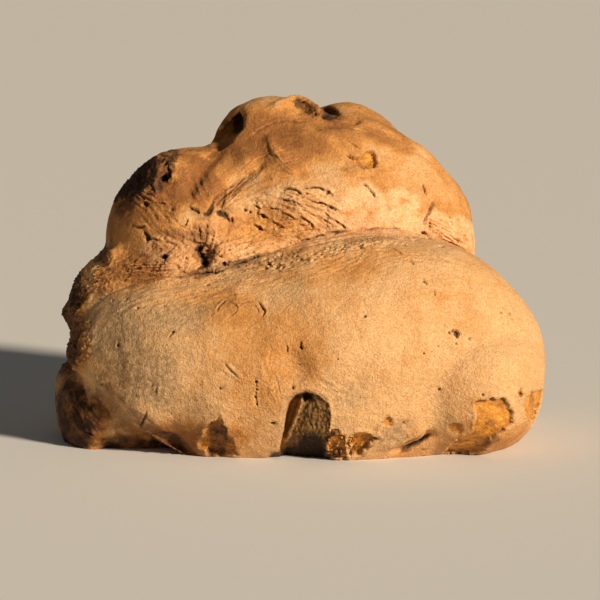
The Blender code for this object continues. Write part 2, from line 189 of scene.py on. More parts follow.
class Crust:
    # the loaf's skin as arrays in millimetres, with marks from 0 to 1 that the crust material reads

    markNames = ("torn", "flake", "burnt", "flour", "bakeAndShade", "paintedShade", "hollow")

    def __init__(self, obj, frontTree, rearTree):
        self.obj = obj
        self.frontTree, self.rearTree = frontTree, rearTree
        self.refresh()

    def refresh(self):
        # after the mesh is made anew
        self.tree = treeOf(self.obj)
        self.read()
        toFront = np.array([self.frontTree.find_nearest(Vector(p))[3] for p in self.points])
        toRear = np.array([self.rearTree.find_nearest(Vector(p))[3] for p in self.points])
        self.toSeam = np.maximum(toFront, toRear)
        self.onFront = toFront < toRear
        self.marks = {name: np.zeros(len(self.points)) for name in self.markNames}

    def refine(self, wanted):
        # halves the edges whose two ends are wanted
        shape = bmesh.new()
        shape.from_mesh(self.obj.data)
        edges = [e for e in shape.edges if wanted[e.verts[0].index] and wanted[e.verts[1].index]]
        bmesh.ops.subdivide_edges(shape, edges=edges, cuts=1, use_grid_fill=True)
        shape.to_mesh(self.obj.data)
        shape.free()
        self.refresh()

    def read(self):
        count = len(self.obj.data.vertices)
        points = np.empty(count * 3, np.float32)
        normals = np.empty(count * 3, np.float32)
        self.obj.data.vertices.foreach_get("co", points)
        self.obj.data.vertex_normals.foreach_get("vector", normals)
        self.points = points.reshape(-1, 3).astype(float)
        self.normals = normals.reshape(-1, 3).astype(float)

    def push(self, amounts, along=None):
        self.points += (self.normals if along is None else along) * np.asarray(amounts)[:, None]
        self.obj.data.vertices.foreach_set("co", self.points.astype(np.float32).ravel())
        self.obj.data.update()
        self.read()

    def mark(self, name, index, amounts):
        self.marks[name][index] = np.maximum(self.marks[name][index], np.clip(amounts, 0, 1))

    def wavy(self, size, seed, octaves=3, stretch=None):
        # fractal noise from about -1 to 1; stretch scales x, y and z before it
        points = self.points / size if stretch is None else self.points * np.array(stretch) / size
        points = points + np.array([seed * 17.3, seed * 9.1, seed * 5.7])
        return np.array([noise.fractal(p, 1.0, 2.0, octaves) for p in points.tolist()])

    def seen(self, view):
        # each point's place in a view, and whether its skin faces that way
        right, up, back = viewAxes(view)
        if view != "photo":
            return np.stack([self.points @ right, self.points @ up], 1), self.normals @ back > 0.35
        rays = self.points - photoEye()
        depth = -(rays @ back)
        scale = photoView["distance"] / depth
        acrossMm, upMm = photoView["axis"]
        flat = np.stack([rays @ right * scale + acrossMm, rays @ up * scale + upMm], 1)
        return flat, (self.normals * -rays).sum(1) > 0.02 * depth

    def place(self, view, x, h):
        # the point of the crust at a place in a view
        right, up, back = viewAxes(view)
        if view == "photo":
            eye = photoEye()
            acrossMm, upMm = photoView["axis"]
            aim = right * (x - acrossMm) + up * (h - upMm) - back * photoView["distance"]
        else:
            aim = -back * 400.0
            eye = right * x + up * h - aim
        hit = self.tree.ray_cast(Vector(eye), Vector(aim).normalized())[0]
        return np.array(hit or self.tree.find_nearest(Vector(eye + aim))[0])

    def path(self, view, corners, step=2.0):
        # points on the crust along a smooth curve through the corners
        corners = [np.array(c, float) for c in corners]
        ends = [2 * corners[0] - corners[1], *corners, 2 * corners[-1] - corners[-2]]
        found = []
        for a, b, c, d in zip(ends, ends[1:], ends[2:], ends[3:]):
            pieces = max(1, round(float(np.linalg.norm(c - b)) / step))
            for share in np.arange(pieces) / pieces:
                bend = 2 * a - 5 * b + 4 * c - d + share * (3 * (b - c) + d - a)
                near = b + 0.5 * share * (c - a + share * bend)
                found.append(self.place(view, *near))
        found.append(self.place(view, *corners[-1]))
        return np.array(found)

    def fromPath(self, path, reach, ragged=0.0, seed=0):
        # the points near a path, with their distance, share of its length and side
        low, high = path.min(0) - reach, path.max(0) + reach
        near = np.nonzero(((self.points > low) & (self.points < high)).all(1))[0]
        points = self.points[near]
        if ragged:
            shift = Vector((seed * 3.1, seed * 1.7, 0))
            points = points + ragged * np.array([noise.noise_vector(Vector(p) / 2.6 + shift) for p in points])
        distance = np.full(len(near), 1e9)
        share = np.zeros(len(near))
        side = np.zeros(len(near))
        for i in range(len(path) - 1):
            line = path[i + 1] - path[i]
            along = np.clip((points - path[i]) @ line / max(float(line @ line), 1e-9), 0, 1)
            gap = points - path[i] - along[:, None] * line
            apart = np.linalg.norm(gap, axis=1)
            closer = apart < distance
            side = np.where(closer, np.sign((gap * np.cross(self.normals[near], line)).sum(1)), side)
            share = np.where(closer, (i + along) / (len(path) - 1), share)
            distance = np.minimum(distance, apart)
        inside = distance < reach
        return near[inside], distance[inside], share[inside], side[inside]


def taper(share, ends=0.18):
    return ease(share / ends) * ease((1 - share) / ends)


def crease(crust, view, corners, width, depth, lip=0.0):
    # a soft crease along a path, or a ridge where depth is below 0; a lip raises its left side
    path = crust.path(view, corners)
    index, distance, share, side = crust.fromPath(path, width * 2.5)
    amounts = np.zeros(len(crust.points))
    amounts[index] = -depth * np.exp(-((distance / (0.6 * width)) ** 2)) * taper(share)
    if lip:
        raised = np.exp(-(((distance - 0.9 * width) / (0.7 * width)) ** 2)) * (side > 0)
        amounts[index] += lip * raised * taper(share)
    crust.push(amounts)


def ellipseRadius(flat, middle, half, turn):
    # 1 on the rim of a turned ellipse, and 0 at its middle
    shift = flat - np.array(middle)
    angle = math.radians(turn)
    along = (shift[:, 0] * math.cos(angle) + shift[:, 1] * math.sin(angle)) / half[0]
    across = (-shift[:, 0] * math.sin(angle) + shift[:, 1] * math.cos(angle)) / half[1]
    return np.hypot(along, across)


def scab(crust, view, middle, half, turn, depth, edge, ragged, seed):
    # a sunken ellipse with a ragged rim
    flat, facing = crust.seen(view)
    radius = ellipseRadius(flat, middle, half, turn)
    near = np.nonzero((radius < 1.8) & facing)[0]
    rough = np.array([noise.noise(Vector(crust.points[i]) / 5.0 + Vector((seed * 3.7, 0, 0))) for i in near])
    rim = (1 - radius[near] + ragged * rough) * min(half) / edge
    amounts = np.zeros(len(crust.points))
    amounts[near] = -depth * ease(rim + 0.5)
    crust.push(amounts)


def dent(crust, view, middle, radius, depth):
    # a soft hollow, or a bump where depth is below 0
    at = crust.place(view, *middle)
    distance = np.linalg.norm(crust.points - at, axis=1)
    crust.push(-depth * np.exp(-((distance / radius) ** 2)))


# The creases, dents and scabs that the solid has too, in the same places.
forms = {
    "creases": [  # view, path, width, depth, lip
        ("photo", [(-68, 159), (-71, 151), (-72, 143), (-78, 137), (-88, 131)], 6, -3.6, 0),
        ("photo", [(-42, 160), (-47, 152), (-53, 144), (-58, 134)], 7, 3.6, 0),
        ("photo", [(-46, 128), (-38, 136), (-28, 145), (-16, 154)], 6, 2.4, 0.8),
        ("photo", [(-17, 168), (-12, 158), (-6, 150), (2, 146)], 6, -1.8, 0),
        ("photo", [(-16, 180), (-8, 183), (-1, 185), (6, 181), (13, 175)], 5, -3.8, 0),
        ("photo", [(9, 182), (15, 180), (22, 176), (33, 174)], 4.5, 4.5, 0),
        ("photo", [(61, 160), (70, 152), (78, 140)], 4, 1.6, 0),
        ("photo", [(-6, 60), (-2, 48), (2, 38)], 13, 2.2, 0),
        ("photo", [(-14, 127), (6, 128), (24, 127), (44, 127), (64, 124)], 15, -2.6, 0),
        ("photo", [(-18, 152), (-30, 142), (-42, 130)], 4, 1.1, 0.3),
        ("photo", [(0, 171), (22, 172), (42, 168), (62, 156)], 7, 1.9, 0),
        ("photo", [(-4, 162), (20, 164), (40, 160)], 8, -1.6, 0),
        ("photo", [(46, 3), (55, 7), (62, 10.5), (70, 16)], 5, 4.2, 1.6),
        ("photo", [(-30, 158), (-26, 150), (-34, 140)], 7, -1.4, 0),
        ((180, 10), [(-20, 150), (-16, 128), (-22, 104), (-34, 84)], 13, 2.6, 0),
        ((180, 10), [(46, 118), (52, 98), (50, 76), (58, 58)], 12, 2.2, 0),
        ((180, 10), [(-92, 62), (-64, 54), (-30, 50), (4, 44), (38, 46)], 4.5, 3.0, 1.2),
    ],
    "seamDepth": [(-50, 5.0), (0, 4.5), (20, 1.0), (62, 1.0), (76, 4.5)],  # (x, depth) along the seam
    "dents": [  # view, place, radius, depth
        ("photo", (-86, 141), 11, 4.5),
        ("photo", (-79, 148), 6, 2.0),
        ("photo", (-67, 158), 6, -4.2),
        ("photo", (-118, 76), 5, -3.5),
        ("photo", (-102, 113), 5, -4.0),
        ("photo", (-14, 50), 16, -1.6),
        ("photo", (20, 56), 20, -1.2),
        ("photo", (25, 35), 13, 1.6),
        ("photo", (-60, 22), 9, 1.6),
        ("photo", (-77, 26), 11, -1.4),
    ],
    "scabs": [  # view, middle, half sizes, turn, depth, width of the edge, ragged, seed
        ("photo", (-36, 169.5), (11, 5), 52, 5.0, 2.2, 0.18, 1),
        ((180, 5), (-52, 18), (12, 6), 15, 2.6, 2.4, 0.18, 11),
        ((120, 5), (18, 20), (9, 6), 20, 2.4, 2.4, 0.18, 13),
        ("photo", (-50, 106), (8, 5), -60, 3.4, 3.5, 0.6, 5),
    ],
}

# Burst blisters: depth, height of the raised rim, and outline in the photograph's view.
blisters = [
    {"depth": 3.4, "rim": 0.5, "outline": [
        (23.8, 156.4), (25.8, 154.4), (28.9, 151.8), (33, 149.3), (36, 148.8), (40.1, 150.3),
        (39.6, 155.9), (38.1, 158.5), (35.5, 158.5), (32, 155.4), (27.3, 155.4),
    ]},
    {"depth": 4.2, "rim": 0.6, "outline": [
        (-51.4, 10.2), (-48.3, 12.8), (-47.8, 15.8), (-45.2, 19.4), (-41.7, 21), (-40.1, 23),
        (-38.6, 18.4), (-36.6, 16.9), (-37.1, 13.8), (-33.5, 10.7), (-32.5, 7.2), (-30.9, 3.1),
        (-39.1, 2.1), (-46.3, 3.1), (-50.4, 6.6),
    ]},
    {"depth": 4.0, "rim": 0.7, "outline": [
        (24.3, 9.7), (26.3, 12.8), (29.4, 13.8), (32.5, 14.3), (35.5, 13.8), (38.1, 12.3), (41.2, 12.3),
        (39.6, 10.7), (37.6, 9.2), (36, 7.2), (33.5, 4.6), (31.4, 2.6), (26.3, 2.6),
    ]},
    {"depth": 1.6, "rim": 0.4, "outline": [
        (14.5, 12.5), (16.5, 15), (19.5, 15.4), (22.6, 12.6), (24, 10.2), (24.4, 5.5), (24.5, 1.2),
        (15, 1.2),
    ]},
    {"depth": 1.0, "rim": 0.3, "outline": [
        (42, 19.6), (44, 20.2), (46, 22.8), (48, 20.5), (48.2, 18.4), (44.5, 18.2),
    ]},
    {"depth": 2.5, "rim": 0.7, "outline": [
        (90.2, 27.1), (90.7, 30.2), (92.8, 31.2), (96.9, 31.2), (98.9, 32.2), (101, 31.2), (104, 32.2),
        (106.1, 31.2), (107.6, 28.6), (109.1, 25.6), (109.7, 22), (110, 19.4), (107.1, 16.9), (103, 13.5),
        (98.4, 10.7), (95.5, 6.5), (91, 3.6), (82.6, 3), (74.4, 4.2), (78.5, 8.7), (82.6, 11.8),
        (88, 13.2), (90, 16.4), (91.2, 21),
    ]},
    {"depth": 0.8, "rim": 0.3, "outline": [
        (76.4, 18), (79, 19.4), (83.6, 18.6), (84.8, 15.6), (82, 13.8), (77.5, 14.6),
    ]},
    {"depth": 1.5, "rim": 0.5, "outline": [
        (115.8, 26.1), (116.3, 31.2), (119.4, 35.3), (124.5, 36.6), (128, 30), (127, 20), (121.5, 15.6),
        (118.2, 18.5),
    ]},
    {"depth": 1.3, "rim": 0.2, "outline": [(112.6, 36.4), (114.4, 37), (114.6, 32.6), (113.2, 31.8)]},
]


def toOutline(flat, outline):
    # signed distance in the view to a closed outline, above 0 inside it
    corners = np.array(outline, float)
    distance = np.full(len(flat), 1e9)
    inside = np.zeros(len(flat), bool)
    for a, b in zip(corners, np.roll(corners, -1, 0)):
        line = b - a
        along = np.clip((flat - a) @ line / (line @ line), 0, 1)
        distance = np.minimum(distance, np.linalg.norm(flat - a - along[:, None] * line, axis=1))
        crosses = (a[1] > flat[:, 1]) != (b[1] > flat[:, 1])
        with np.errstate(divide="ignore", invalid="ignore"):
            at = a[0] + (flat[:, 1] - a[1]) * line[0] / line[1]
        inside ^= crosses & (flat[:, 0] < at)
    return np.where(inside, distance, -distance)


def nearOutline(flat, facing, outline, reach):
    # the points that face the eye in an outline's box, and a little way round it
    low, high = np.min(outline, 0) - reach, np.max(outline, 0) + reach
    return np.nonzero(((flat > low) & (flat < high)).all(1) & facing)[0]


def burstBlister(crust, outline, depth, rim):
    # a hollow with a steep ragged wall, a floury rim and a line of painted shade below it
    wall, ragged = 0.7, 0.9
    flat, facing = crust.seen("photo")
    near = nearOutline(flat, facing, outline, 4)
    places = [Vector(p) for p in crust.points[near].tolist()]
    rough = np.array([noise.noise_vector(p / 2.4) + 0.6 * noise.noise_vector(p / 1.0) for p in places])
    gap = toOutline(flat[near] + ragged * rough[:, :2], outline)
    amounts = np.zeros(len(crust.points))
    bottom = 0.72 + 0.28 * ease(gap / 5) + 0.10 * rough[:, 2]
    amounts[near] = -depth * ease(gap / wall + 0.3) * bottom
    amounts[near] += 0.6 * rim * np.exp(-(((gap + 1.1) / 0.9) ** 2))
    crust.push(amounts)
    crust.mark("flake", near, ease(gap / 0.5 + 0.4))
    crust.mark("flour", near, 0.6 * np.exp(-(((gap + 0.7) / 0.6) ** 2)))
    # painted shade at the top of the wall, just inside the rim
    crust.mark("paintedShade", near, 0.35 * np.exp(-(((gap - 0.3) / 0.5) ** 2)))


def shapeDough(crust):
    # slow waves in the dough, the seam between the folds, and then the forms above
    crust.push(1.3 * crust.wavy(42, 1, octaves=2) + 0.7 * crust.wavy(17, 8, octaves=2))
    near = np.exp(-((crust.toSeam / 4.0) ** 2))
    rim = np.exp(-(((crust.toSeam - 7.0) / 4.0) ** 2)) * crust.onFront
    deep = np.interp(crust.points[:, 0], *np.transpose(forms["seamDepth"]))
    crust.push(-deep * near + 1.6 * rim)
    for form in forms["creases"]:
        crease(crust, *form)
    for form in forms["dents"]:
        dent(crust, *form)
    for form in forms["scabs"]:
        scab(crust, *form)


frontShapes = [makeDoughShape(**shape) for shape in loaf["frontFold"]]
swellFrontFold(frontShapes[0], loaf["frontFold"][0]["middle"])
frontMesh = makeObject("frontFold", frontShapes)
rearMesh = makeObject("rearDough", [makeDoughShape(**shape) for shape in loaf["rearDough"]])
fuse(frontMesh, loaf["voxel"], loaf["doughBlend"] / 2)
fuse(rearMesh, loaf["voxel"], loaf["doughBlend"])
frontTree, rearTree = treeOf(frontMesh), treeOf(rearMesh)
both = bmesh.new()
both.from_mesh(frontMesh.data)
both.from_mesh(rearMesh.data)
bread = makeObject("loafCrust", [both])
for helper in (frontMesh, rearMesh):
    bpy.data.objects.remove(helper)
fuse(bread, loaf["voxel"], loaf["foldBlend"])
crust = Crust(bread, frontTree, rearTree)
shapeDough(crust)
print("dough folded:", len(crust.points), "points")

# Deep openings, carved straight into the loaf along the photograph's line of sight.
openings = {
    "hollowRim": [
        (-9.8, 7), (-8.8, 11), (-7.3, 18.4), (-6.5, 25.2), (-5.2, 29.9), (-1.8, 33.9), (3.8, 35.6),
        (8.4, 34.6), (12.6, 32.6), (15.2, 29.5), (16.3, 22.7), (15.6, 14.2), (14.6, 7), (12, -6), (-8, -6),
    ],
    "membrane": [(-8, -8.6), (9, -6.4), (14, -4.8), (20, -2.2), (25, -0.5), (29.5, 1.4), (33, 1.6)],  # (h, x)
    "pocketRim": [
        (-45.9, 162.2), (-36.9, 163.1), (-31.2, 166.6), (-28, 169.8), (-27.7, 175.6), (-29.9, 178.5),
        (-33.1, 175.8), (-36.9, 171.8), (-41.7, 167.6),
    ],
    "knotRims": [
        [
            (-50, 127.4), (-47.6, 126.8), (-45.6, 129.8), (-43.4, 133.6), (-42.6, 132.8), (-43.6, 128.6),
            (-45, 125.4), (-48, 125),
        ],
        [
            (-42.4, 127.4), (-40.4, 128.8), (-38.4, 127), (-36.2, 126.6), (-34.4, 122.4), (-35.6, 121.8),
            (-38, 124.4), (-41, 125),
        ],
        [
            (-51, 110.4), (-49, 109.4), (-49.4, 107), (-47, 104.6), (-45.4, 101.4), (-46.4, 98.6),
            (-51.6, 97), (-52.6, 98), (-49.8, 100.2), (-50, 103.4), (-52, 105.8), (-52.8, 108),
        ],
        [(-72, 104.4), (-68.6, 106), (-65.6, 104.8), (-67.6, 102.8)],
        [(-79.6, 117.6), (-77.4, 117.2), (-75, 113.4), (-77, 113), (-78.8, 115)],
        [(-71.4, 145.2), (-68.2, 146.4), (-65.6, 148.4), (-65.8, 143.4), (-68.6, 142)],
    ],
    "knotDepths": [3.6, 3.2, 6.5, 2.4, 2.6, 3.2],
    "notchRim": [(10.5, 181), (15, 181.5), (19.5, 179.4), (22, 176.2), (17, 176.6), (13, 178)],
}


def carve(crust, near, depths):
    # moves skin away from the photograph's eye, so each point keeps its place in the picture
    amounts = np.zeros(len(crust.points))
    amounts[near] = depths
    rays = crust.points - photoEye()
    crust.push(amounts, rays / np.linalg.norm(rays, axis=1)[:, None])


def openLoaf(crust):
    flat, facing = crust.seen("photo")
    rough = crust.wavy(3.0, 21, octaves=2)
    fine = crust.wavy(1.7, 22, octaves=2)
    # the hollow in front, with a thin wall of dough left standing in it
    near = np.nonzero(facing & (np.abs(flat[:, 0] - 2) < 20) & (flat[:, 1] < 39))[0]
    x, h = flat[near].T
    gap = toOutline(flat[near] + 0.5 * rough[near, None], openings["hollowRim"])
    fromWall = x - smoothBetween(openings["membrane"], h) + 0.5 * rough[near]
    shell = 0.9 + 6.5 * np.exp(-np.maximum(fromWall, 0) / 4.0) + 4.5 * ease((h - 29) / 4) * ease((10 - x) / 5)
    shell += 7.0 * ease((15 - h) / 10) + 0.5 * rough[near]
    depths = np.where(fromWall < 0, 10.0, shell) - 7.5 * np.exp(-((fromWall / 0.8) ** 2)) * ease((h - 7) / 5)
    depths *= ease(gap / np.where(x > 8, 2.6, 1.1) + 0.3)
    chamfer = 1.7 * ease((gap + 1.9) / 1.9) * ease((-2 - x) / 2) * ease((h - 9) / 5)
    under = 6.0 * ease((5.0 - h) / 3.5) * ease((x + 17) / 5) * ease((19 - x) / 5)
    carve(crust, near, np.maximum(np.maximum(depths, under), chamfer))
    # the undercut below the left end of the fold
    near = np.nonzero(facing & (np.abs(flat[:, 0] + 77) < 32) & (flat[:, 1] < 25))[0]
    x, h = flat[near].T
    carve(crust, near, 14.0 * ease((24 - h) / 20) * ease((x + 108) / 14) * ease((-46 - x) / 16))
    # the pocket left of the crown, and the notch right of it
    near = np.nonzero(facing & (flat[:, 1] > 155) & (flat[:, 0] < -20))[0]
    gap = toOutline(flat[near] + 0.4 * rough[near, None], openings["pocketRim"])
    depths = 3.0 + 8.0 * ease((flat[near, 0] + 40) / 8) * ease((flat[near, 1] - 163) / 6)
    carve(crust, near, ease(gap / 0.8 + 0.35) * depths)
    near = np.nonzero(facing & (flat[:, 1] > 170) & (flat[:, 0] > 4))[0]
    carve(crust, near, 6.0 * ease(toOutline(flat[near], openings["notchRim"]) / 2 + 0.3))
    # the deep cracks where the dough closed
    for rim, depth in zip(openings["knotRims"], openings["knotDepths"]):
        near = nearOutline(flat, facing, rim, 4)
        gap = toOutline(flat[near] + 1.0 * fine[near, None], rim) + 0.5 * fine[near]
        carve(crust, near, depth * ease(gap / 1.2 + 0.2))


def markOpenings(crust):
    # colours and roughens the insides of what openLoaf carved, with painted shade where they lie in shadow
    flat, _ = crust.seen("photo")
    facing = ((photoEye() - crust.points) * crust.normals).sum(1) > -400
    rough, fine = crust.wavy(3.0, 21, octaves=2), crust.wavy(1.5, 23, octaves=2)
    inFront = facing & (crust.points[:, 1] < -40)
    near = np.nonzero(inFront & (np.abs(flat[:, 0] - 2) < 20) & (flat[:, 1] < 39))[0]
    x, h = flat[near].T
    gap = toOutline(flat[near], openings["hollowRim"])
    fromWall = x - smoothBetween(openings["membrane"], h) + 0.5 * rough[near]
    inside = ease(gap / 1.0 + 0.3)
    ridge = np.exp(-((fromWall / 0.9) ** 2)) * ease((h - 8) / 4)
    inShell = inside * (fromWall > 0.6)
    streaks = np.sin(2.4 * fromWall + 0.8 * h + 3.0 * rough[near]) * ease((fromWall - 1) / 2)
    amounts = np.zeros(len(crust.points))
    amounts[near] = inShell * (0.55 * fine[near] + 0.30 * streaks)
    crust.push(amounts)
    crust.mark("hollow", near, inside * (1 - ridge) * np.where(fromWall < 0, 0.45, 1.0))
    crust.mark("flake", near, inside * (1 - ridge) * (fromWall < 0))
    # painted shade in the slit behind the thin wall, and in the shell's low spots
    crust.mark("paintedShade", near, inside * (1 - ridge) * np.where(fromWall < 0, 0.42, 0.0))
    crust.mark("paintedShade", near, 0.55 * inShell * ease((-fine[near] - 0.25 * streaks - 0.12) / 0.25))
    # painted shade at the bottom of the hollow, under the loaf's overhang
    dark = np.interp(x, [-16, -8.6, -0.5, 3, 11, 15], [4.0, 7.5, 9.5, 15.5, 15.5, 5.0]) + 1.4 * rough[near]
    crust.mark("paintedShade", near, ease((dark + 2 - h) / 6) * ease((x + 17) / 4) * ease((18 - x) / 3))
    # painted shade under the hollow's roof
    roof = ease((h - 30.5) / 2) * ease((9 - x) / 3) * ease((x + 2.5) / 1.5)
    crust.mark("paintedShade", near, 0.85 * inside * roof)
    crust.mark("flour", near, inside * ridge)
    leftRim = ease((gap + 2.3) / 0.6) * ease((0.3 - gap) / 0.6) * (x < -1)
    crust.mark("flour", near, leftRim * ease((h - 9) / 4))
    near = np.nonzero(facing & (flat[:, 1] > 155) & (flat[:, 0] < -20))[0]
    x, h = flat[near].T
    inside = ease(toOutline(flat[near], openings["pocketRim"]) / 1.2 + 0.4)
    # painted shade in the pocket's upper right
    dark = ease((x + 35) / 3) * ease((h - 165.5) / 3)
    crust.mark("flake", near, 0.7 * inside)
    crust.mark("hollow", near, 0.5 * inside)
    crust.mark("paintedShade", near, 0.97 * inside * dark)
    near = np.nonzero(facing & (flat[:, 1] > 170) & (flat[:, 0] > 4))[0]
    inside = ease(toOutline(flat[near], openings["notchRim"]) / 1.6 + 0.4)
    crust.mark("hollow", near, 0.9 * inside)
    # painted shade in the notch
    crust.mark("paintedShade", near, 0.5 * inside)
    for rim in openings["knotRims"]:
        near = nearOutline(flat, facing, rim, 4)
        # painted shade in the deep cracks
        crust.mark("paintedShade", near, 0.95 * ease(toOutline(flat[near], rim) / 1.2 + 0.4))


fuse(bread, loaf["fineVoxel"])
crust.refresh()
openLoaf(crust)
fuse(bread, loaf["fineVoxel"])
crust.refresh()
print("openings carved:", len(crust.points), "points")

# Dough that tore as the loaf sprang in the oven: softness of its edge, how pale it is, how high its
# layers and its loose lumps stand, and outline in the photograph's view.
tears = [
    {"soft": 5, "torn": 0.45, "crumb": 0.55, "loose": 0.15, "outline": [
        (-64, 92), (-40, 97), (-15, 107), (5, 110), (18, 113), (22, 119), (17, 128), (19, 138),
        (-8, 139.5), (-22, 136), (-33, 129), (-42, 125), (-52, 124), (-62, 117), (-76, 115), (-82, 108),
        (-74, 98),
    ]},
    {"soft": 6, "torn": 0.15, "crumb": 0.6, "loose": 0.5, "outline": [
        (-60, 118), (-50, 122), (-38, 120), (-34, 108), (-38, 98), (-50, 95), (-62, 96), (-66, 104),
    ]},
    {"soft": 4, "torn": 0.95, "crumb": 0.08, "loose": 0.0, "outline": [
        (20, 115), (62, 116), (64, 126), (61, 138), (42, 139), (36, 142), (24, 139), (18, 128),
    ]},
    {"soft": 5, "torn": 0.1, "crumb": 0.6, "loose": 0.25, "outline": [
        (-120, 74), (-104, 83), (-97, 87), (-80, 94.5), (-62, 94), (-72, 100), (-84, 106), (-100, 110),
        (-116, 96), (-124, 84),
    ]},
    {"soft": 4, "torn": 0.8, "crumb": 0.4, "loose": 0.0, "outline": [
        (62, 117), (75, 112), (93, 106), (89, 121), (80, 125), (70, 128), (65, 126),
    ]},
    {"soft": 2.5, "torn": 0.2, "crumb": 0.3, "loose": 0.7, "outline": [
        (-44, 97), (-27, 102.5), (-4, 107.5), (20, 113), (45, 115), (62, 115), (60, 110.5), (45, 110),
        (22, 106.5), (5, 102), (-8, 98), (-20, 97), (-34, 94.5),
    ]},
    {"soft": 4, "torn": 0.0, "crumb": 0.2, "loose": 0.8, "outline": [
        (-80, 160), (-64, 162), (-61, 154), (-64, 141), (-73, 134), (-92, 128), (-96, 132),
    ]},
    {"soft": 3, "torn": 0.0, "crumb": 0.0, "loose": 0.6, "outline": [
        (-8, 190), (16, 182), (16, 173), (8, 174), (-2, 181),
    ]},
    {"soft": 5, "torn": 0.0, "crumb": 0.8, "loose": 0.7, "outline": [
        (-124, 78), (-112, 80), (-104, 70), (-106, 52), (-116, 46), (-128, 50),
    ]},
    {"soft": 3, "torn": 0.2, "crumb": 0.0, "loose": 1.0, "outline": [
        (14, 16), (24, 16), (29, 12), (28, 0), (14, 0),
    ]},
]

# Bundles of fine flow lines where the dough was stretched: path, half width, line spacing, depth.
flowLines = [
    ("photo", [(-46, 128), (-38, 136), (-28, 145), (-14, 154), (6, 160)], 8, 1.9, 0.50),
    ("photo", [(-40, 128), (-30, 134), (-16, 140), (0, 145)], 6, 1.7, 0.45),
    ("photo", [(-17, 170), (-12, 158), (-4, 150), (4, 147)], 5, 1.6, 0.28),
    ("photo", [(0, 170), (22, 171), (42, 167), (62, 156)], 9, 3.0, 0.45),
    ("photo", [(-25, 136), (-5, 143), (20, 146), (45, 150), (60, 150)], 6, 2.0, 0.35),
    ("photo", [(-58, 156), (-52, 142), (-46, 130)], 8, 2.6, 0.45),
    ("photo", [(-96, 120), (-84, 127), (-70, 128), (-58, 125)], 6, 2.4, 0.35),
    ("photo", [(-100, 80), (-85, 88), (-65, 92), (-45, 94), (-20, 99), (0, 103)], 6, 1.6, 0.75),
    ("photo", [(-98, 72), (-84, 80), (-62, 85), (-38, 87), (-16, 90)], 7, 1.9, 0.55),
    ("photo", [(-2, 101), (14, 104), (34, 109), (52, 110)], 6, 1.6, 0.60),
    ("photo", [(-70, 78), (-45, 86), (-15, 92), (18, 100), (40, 109)], 8, 1.9, 0.45),
    ("photo", [(30, 96), (50, 104), (72, 102), (90, 96)], 8, 2.2, 0.35),
    ("photo", [(0, 46), (10, 39), (21, 32), (40, 30)], 7, 1.7, 0.20),
    ("photo", [(-42, 52), (-27, 43), (-14, 36)], 6, 1.7, 0.20),
    ("photo", [(-12, 64), (-16, 52), (-13, 40), (-10, 24)], 6, 1.5, 0.26),
    ("photo", [(24, 1), (35, 8), (44, 16), (52, 23)], 5, 1.9, 0.50),
    ("photo", [(100, 90), (110, 76), (117, 62), (121, 48)], 5, 2.2, 0.35),
    ("photo", [(62, 123), (75, 117), (90, 109)], 7, 1.6, 0.50),
    ("photo", [(-119, 76), (-108, 90), (-94, 99)], 9, 2.3, 1.40),
    ("photo", [(-60, 102), (-35, 108), (-10, 114), (16, 117)], 9, 2.0, 0.60),
    ("photo", [(-98, 92), (-84, 97), (-66, 98), (-50, 99)], 7, 1.9, 0.60),
    ("photo", [(-14, 136), (6, 131), (22, 120)], 9, 2.1, 0.60),
    ("photo", [(-112, 44), (-104, 26), (-92, 12)], 8, 2.4, 0.60),
    ("photo", [(-118, 38), (-112, 22), (-106, 10)], 9, 2.6, 0.50),
    ((180, 10), [(-96, 60), (-60, 52), (-20, 46), (40, 44)], 9, 2.2, 0.50),
    ((180, 10), [(-10, 160), (-14, 130), (-20, 100), (-40, 78)], 12, 2.6, 0.40),
    ((180, 10), [(60, 130), (56, 104), (52, 76), (66, 50)], 12, 2.6, 0.40),
    ((90, 10), [(-40, 20), (-24, 50), (-4, 78), (10, 100)], 12, 2.4, 0.40),
    ((90, 10), [(40, 30), (36, 70), (30, 110), (20, 140)], 12, 2.8, 0.40),
    ((270, 10), [(-60, 30), (-30, 52), (0, 60), (30, 84)], 12, 2.4, 0.50),
    ((270, 10), [(-30, 130), (-10, 120), (20, 100), (40, 70)], 12, 2.8, 0.40),
]
